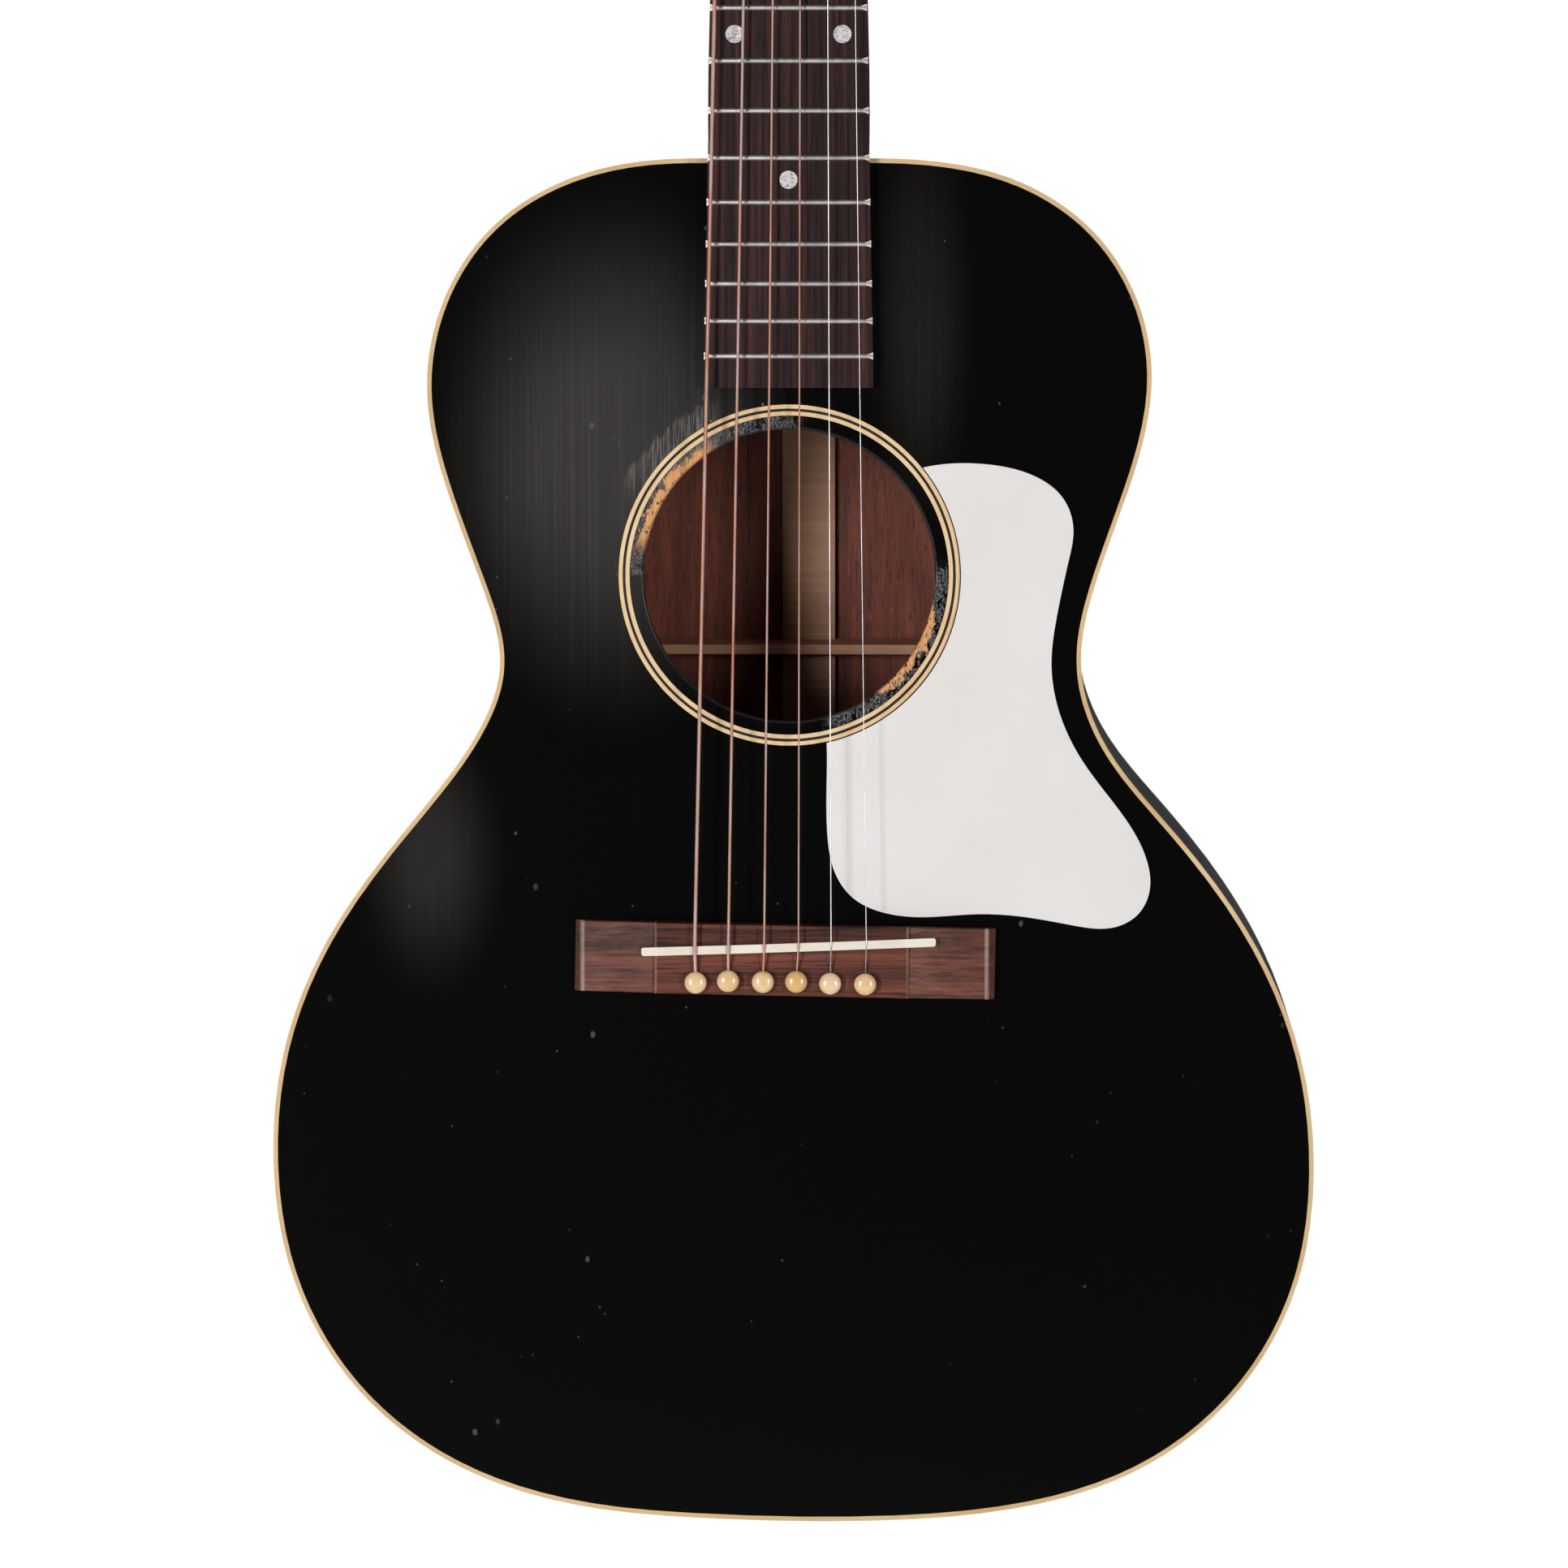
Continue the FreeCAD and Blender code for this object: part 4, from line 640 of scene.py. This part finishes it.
def solid(mesh, rings):
    """Closed skin through rings of points that all have the same count."""
    rows = [[mesh.verts.new(p) for p in ring] for ring in rings]
    for low, high in zip(rows, rows[1:]):
        for i in range(len(low)):
            j = (i + 1) % len(low)
            mesh.faces.new((low[i], low[j], high[j], high[i]))
    mesh.faces.new(rows[0])
    mesh.faces.new(rows[-1])


def facet_end(x, foot, top, z, half):
    """One end of a facet: four corners round a rectangle across the fret."""
    return [(x, foot, z - half), (x, top, z - half), (x, top, z + half), (x, foot, z + half)]


def make_fret_ends():
    """Filed ends of the frets: small facets that spread towards the board's edge."""
    mesh = bmesh.new()
    for number in range(1, FRETS + 1):
        z = -SCALE * (1 - 2 ** (-number / 12))
        half = NUT_HALF + (BOARD_END_HALF - NUT_HALF) * z / BOARD_END_Z
        for side in (-1, 1):
            outer = side * (half + FACET_OUT)
            inner = side * (half - FACET_LONG)
            drop = CROWN_R - math.sqrt(CROWN_R ** 2 - half ** 2)
            base = -BOARD_T + drop
            crown = base - FRET_H - FACET_COVER
            outside = facet_end(outer, base + FACET_FOOT, base - FACET_TOP, z, FACET_WIDE)
            within = facet_end(inner, base, crown, z, FACET_SLIM)
            solid(mesh, [outside, within])
    new_piece("fret_end_facets", mesh, fret_end_metal())


def fret_end_metal():
    """Filed nickel, brighter and softer than the played crowns."""
    s = Shader("fret_end_metal")
    file_marks = s.noise(s.stretched((900, 900, 3000)), detail=3)
    colour = s.ramp(file_marks, [(0.35, (0.60, 0.52, 0.44)), (0.65, (0.86, 0.78, 0.70))])
    return s.finish(colour, 0.46, s.bump(file_marks, 0.2, 0.00005), Metallic=0.55)


def ring_about(middle, out, lift, radius):
    """A ring of points round the wire, in the plane of two directions."""
    points = []
    for k in range(TWIST_SIDES):
        a = 2 * math.pi * k / TWIST_SIDES
        points.append(middle + out * (radius * math.cos(a)) + lift * (radius * math.sin(a)))
    return points


def make_string_twists(material):
    """The wrapped tail of each plain string, where it comes out above its bridge pin."""
    tails = ((1, Vector((0.0276, -0.00930, -0.6379)), Vector((0.03, -0.195, 1.0)), 0.00016),
             (2, Vector((0.0151, -0.00950, -0.6377)), Vector((0.03, -0.246, 1.0)), 0.00020))
    for number, start, slope, core in tails:
        mesh = bmesh.new()
        wire = core * 0.8
        reach = core + wire
        lift = slope.normalized()
        up_way = lift.cross(Vector((1, 0, 0))).normalized()
        side_way = up_way.cross(lift)
        rings = []
        for i in range(TWIST_TURNS * TWIST_STEPS + 1):
            turn = 2 * math.pi * i / TWIST_STEPS
            out = side_way * math.cos(turn) + up_way * math.sin(turn)
            middle = start + out * reach + lift * (TWIST_LONG * i / (TWIST_TURNS * TWIST_STEPS))
            rings.append(ring_about(middle, out, lift, wire))
        solid(mesh, rings)
        new_piece(f"string_twist_{number}", mesh, material)


# --------------------------------------------------------------------- studio

FLOOR_Z = -1.5
FLOOR_R = 3.0
LIGHT_AIM = Vector((0, 0, -0.56))
CAMERA_PLACE = (0.080, -3.000, -0.354)
CAMERA_AIM = Vector((-0.00174, 0.0, -0.57168))
CAMERA_LENS = 193.47
BACKDROP_LEVEL = 1.02
FILL_LEVEL = 0.035


def make_floor():
    """A pale disc below the guitar."""
    mesh = bmesh.new()
    bmesh.ops.create_circle(mesh, cap_ends=True, segments=96, radius=FLOOR_R)
    data = bpy.data.meshes.new("studio_floor")
    mesh.to_mesh(data)
    mesh.free()
    floor = bpy.data.objects.new("studio_floor", data)
    floor.location.z = FLOOR_Z
    bpy.context.scene.collection.objects.link(floor)
    s = Shader("studio_floor")
    data.materials.append(s.finish((0.86, 0.86, 0.85), 0.8))


def softbox(name, place, size, power):
    """A rectangular light aimed at the body."""
    light = bpy.data.lights.new(name, "AREA")
    light.shape = "RECTANGLE"
    light.size, light.size_y = size
    light.energy = power
    lamp = bpy.data.objects.new(name, light)
    lamp.location = place
    lamp.rotation_euler = (LIGHT_AIM - Vector(place)).to_track_quat("-Z", "Y").to_euler()
    bpy.context.scene.collection.objects.link(lamp)


def make_world():
    """White backdrop for the camera, dim grey for everything else."""
    world = bpy.data.worlds.new("studio")
    bpy.context.scene.world = world
    world.use_nodes = True
    tree = world.node_tree
    background = tree.nodes["Background"]
    background.inputs["Color"].default_value = (1, 1, 1, 1)
    path = tree.nodes.new("ShaderNodeLightPath")
    level = tree.nodes.new("ShaderNodeMapRange")
    level.inputs["To Min"].default_value = FILL_LEVEL
    level.inputs["To Max"].default_value = BACKDROP_LEVEL
    tree.links.new(path.outputs["Is Camera Ray"], level.inputs["Value"])
    tree.links.new(level.outputs[0], background.inputs["Strength"])


def make_camera():
    """The camera in front of the soundboard, a little to the treble side."""
    data = bpy.data.cameras.new("camera")
    data.sensor_width = 36.0
    data.lens = CAMERA_LENS
    camera = bpy.data.objects.new("camera", data)
    camera.location = CAMERA_PLACE
    camera.rotation_euler = (CAMERA_AIM - camera.location).to_track_quat("-Z", "Y").to_euler()
    bpy.context.scene.collection.objects.link(camera)
    bpy.context.scene.camera = camera


def make_studio():
    """Camera, backdrop, floor and the four lights."""
    make_camera()
    make_world()
    make_floor()
    softbox("key_left", (-1.70, -2.75, -0.52), (0.50, 1.35), 62)
    softbox("fill_right", (1.95, -2.60, -0.52), (0.50, 1.35), 38)
    softbox("back_left", (-1.9, 3.0, 0.5), (1.6, 1.6), 34)
    softbox("back_right", (2.4, 2.6, 0.7), (1.6, 1.6), 22)
    bpy.context.scene.view_settings.view_transform = "Standard"


make_studio()
paint_all()
make_fret_ends()
make_string_twists(bpy.data.materials["plain_string"])
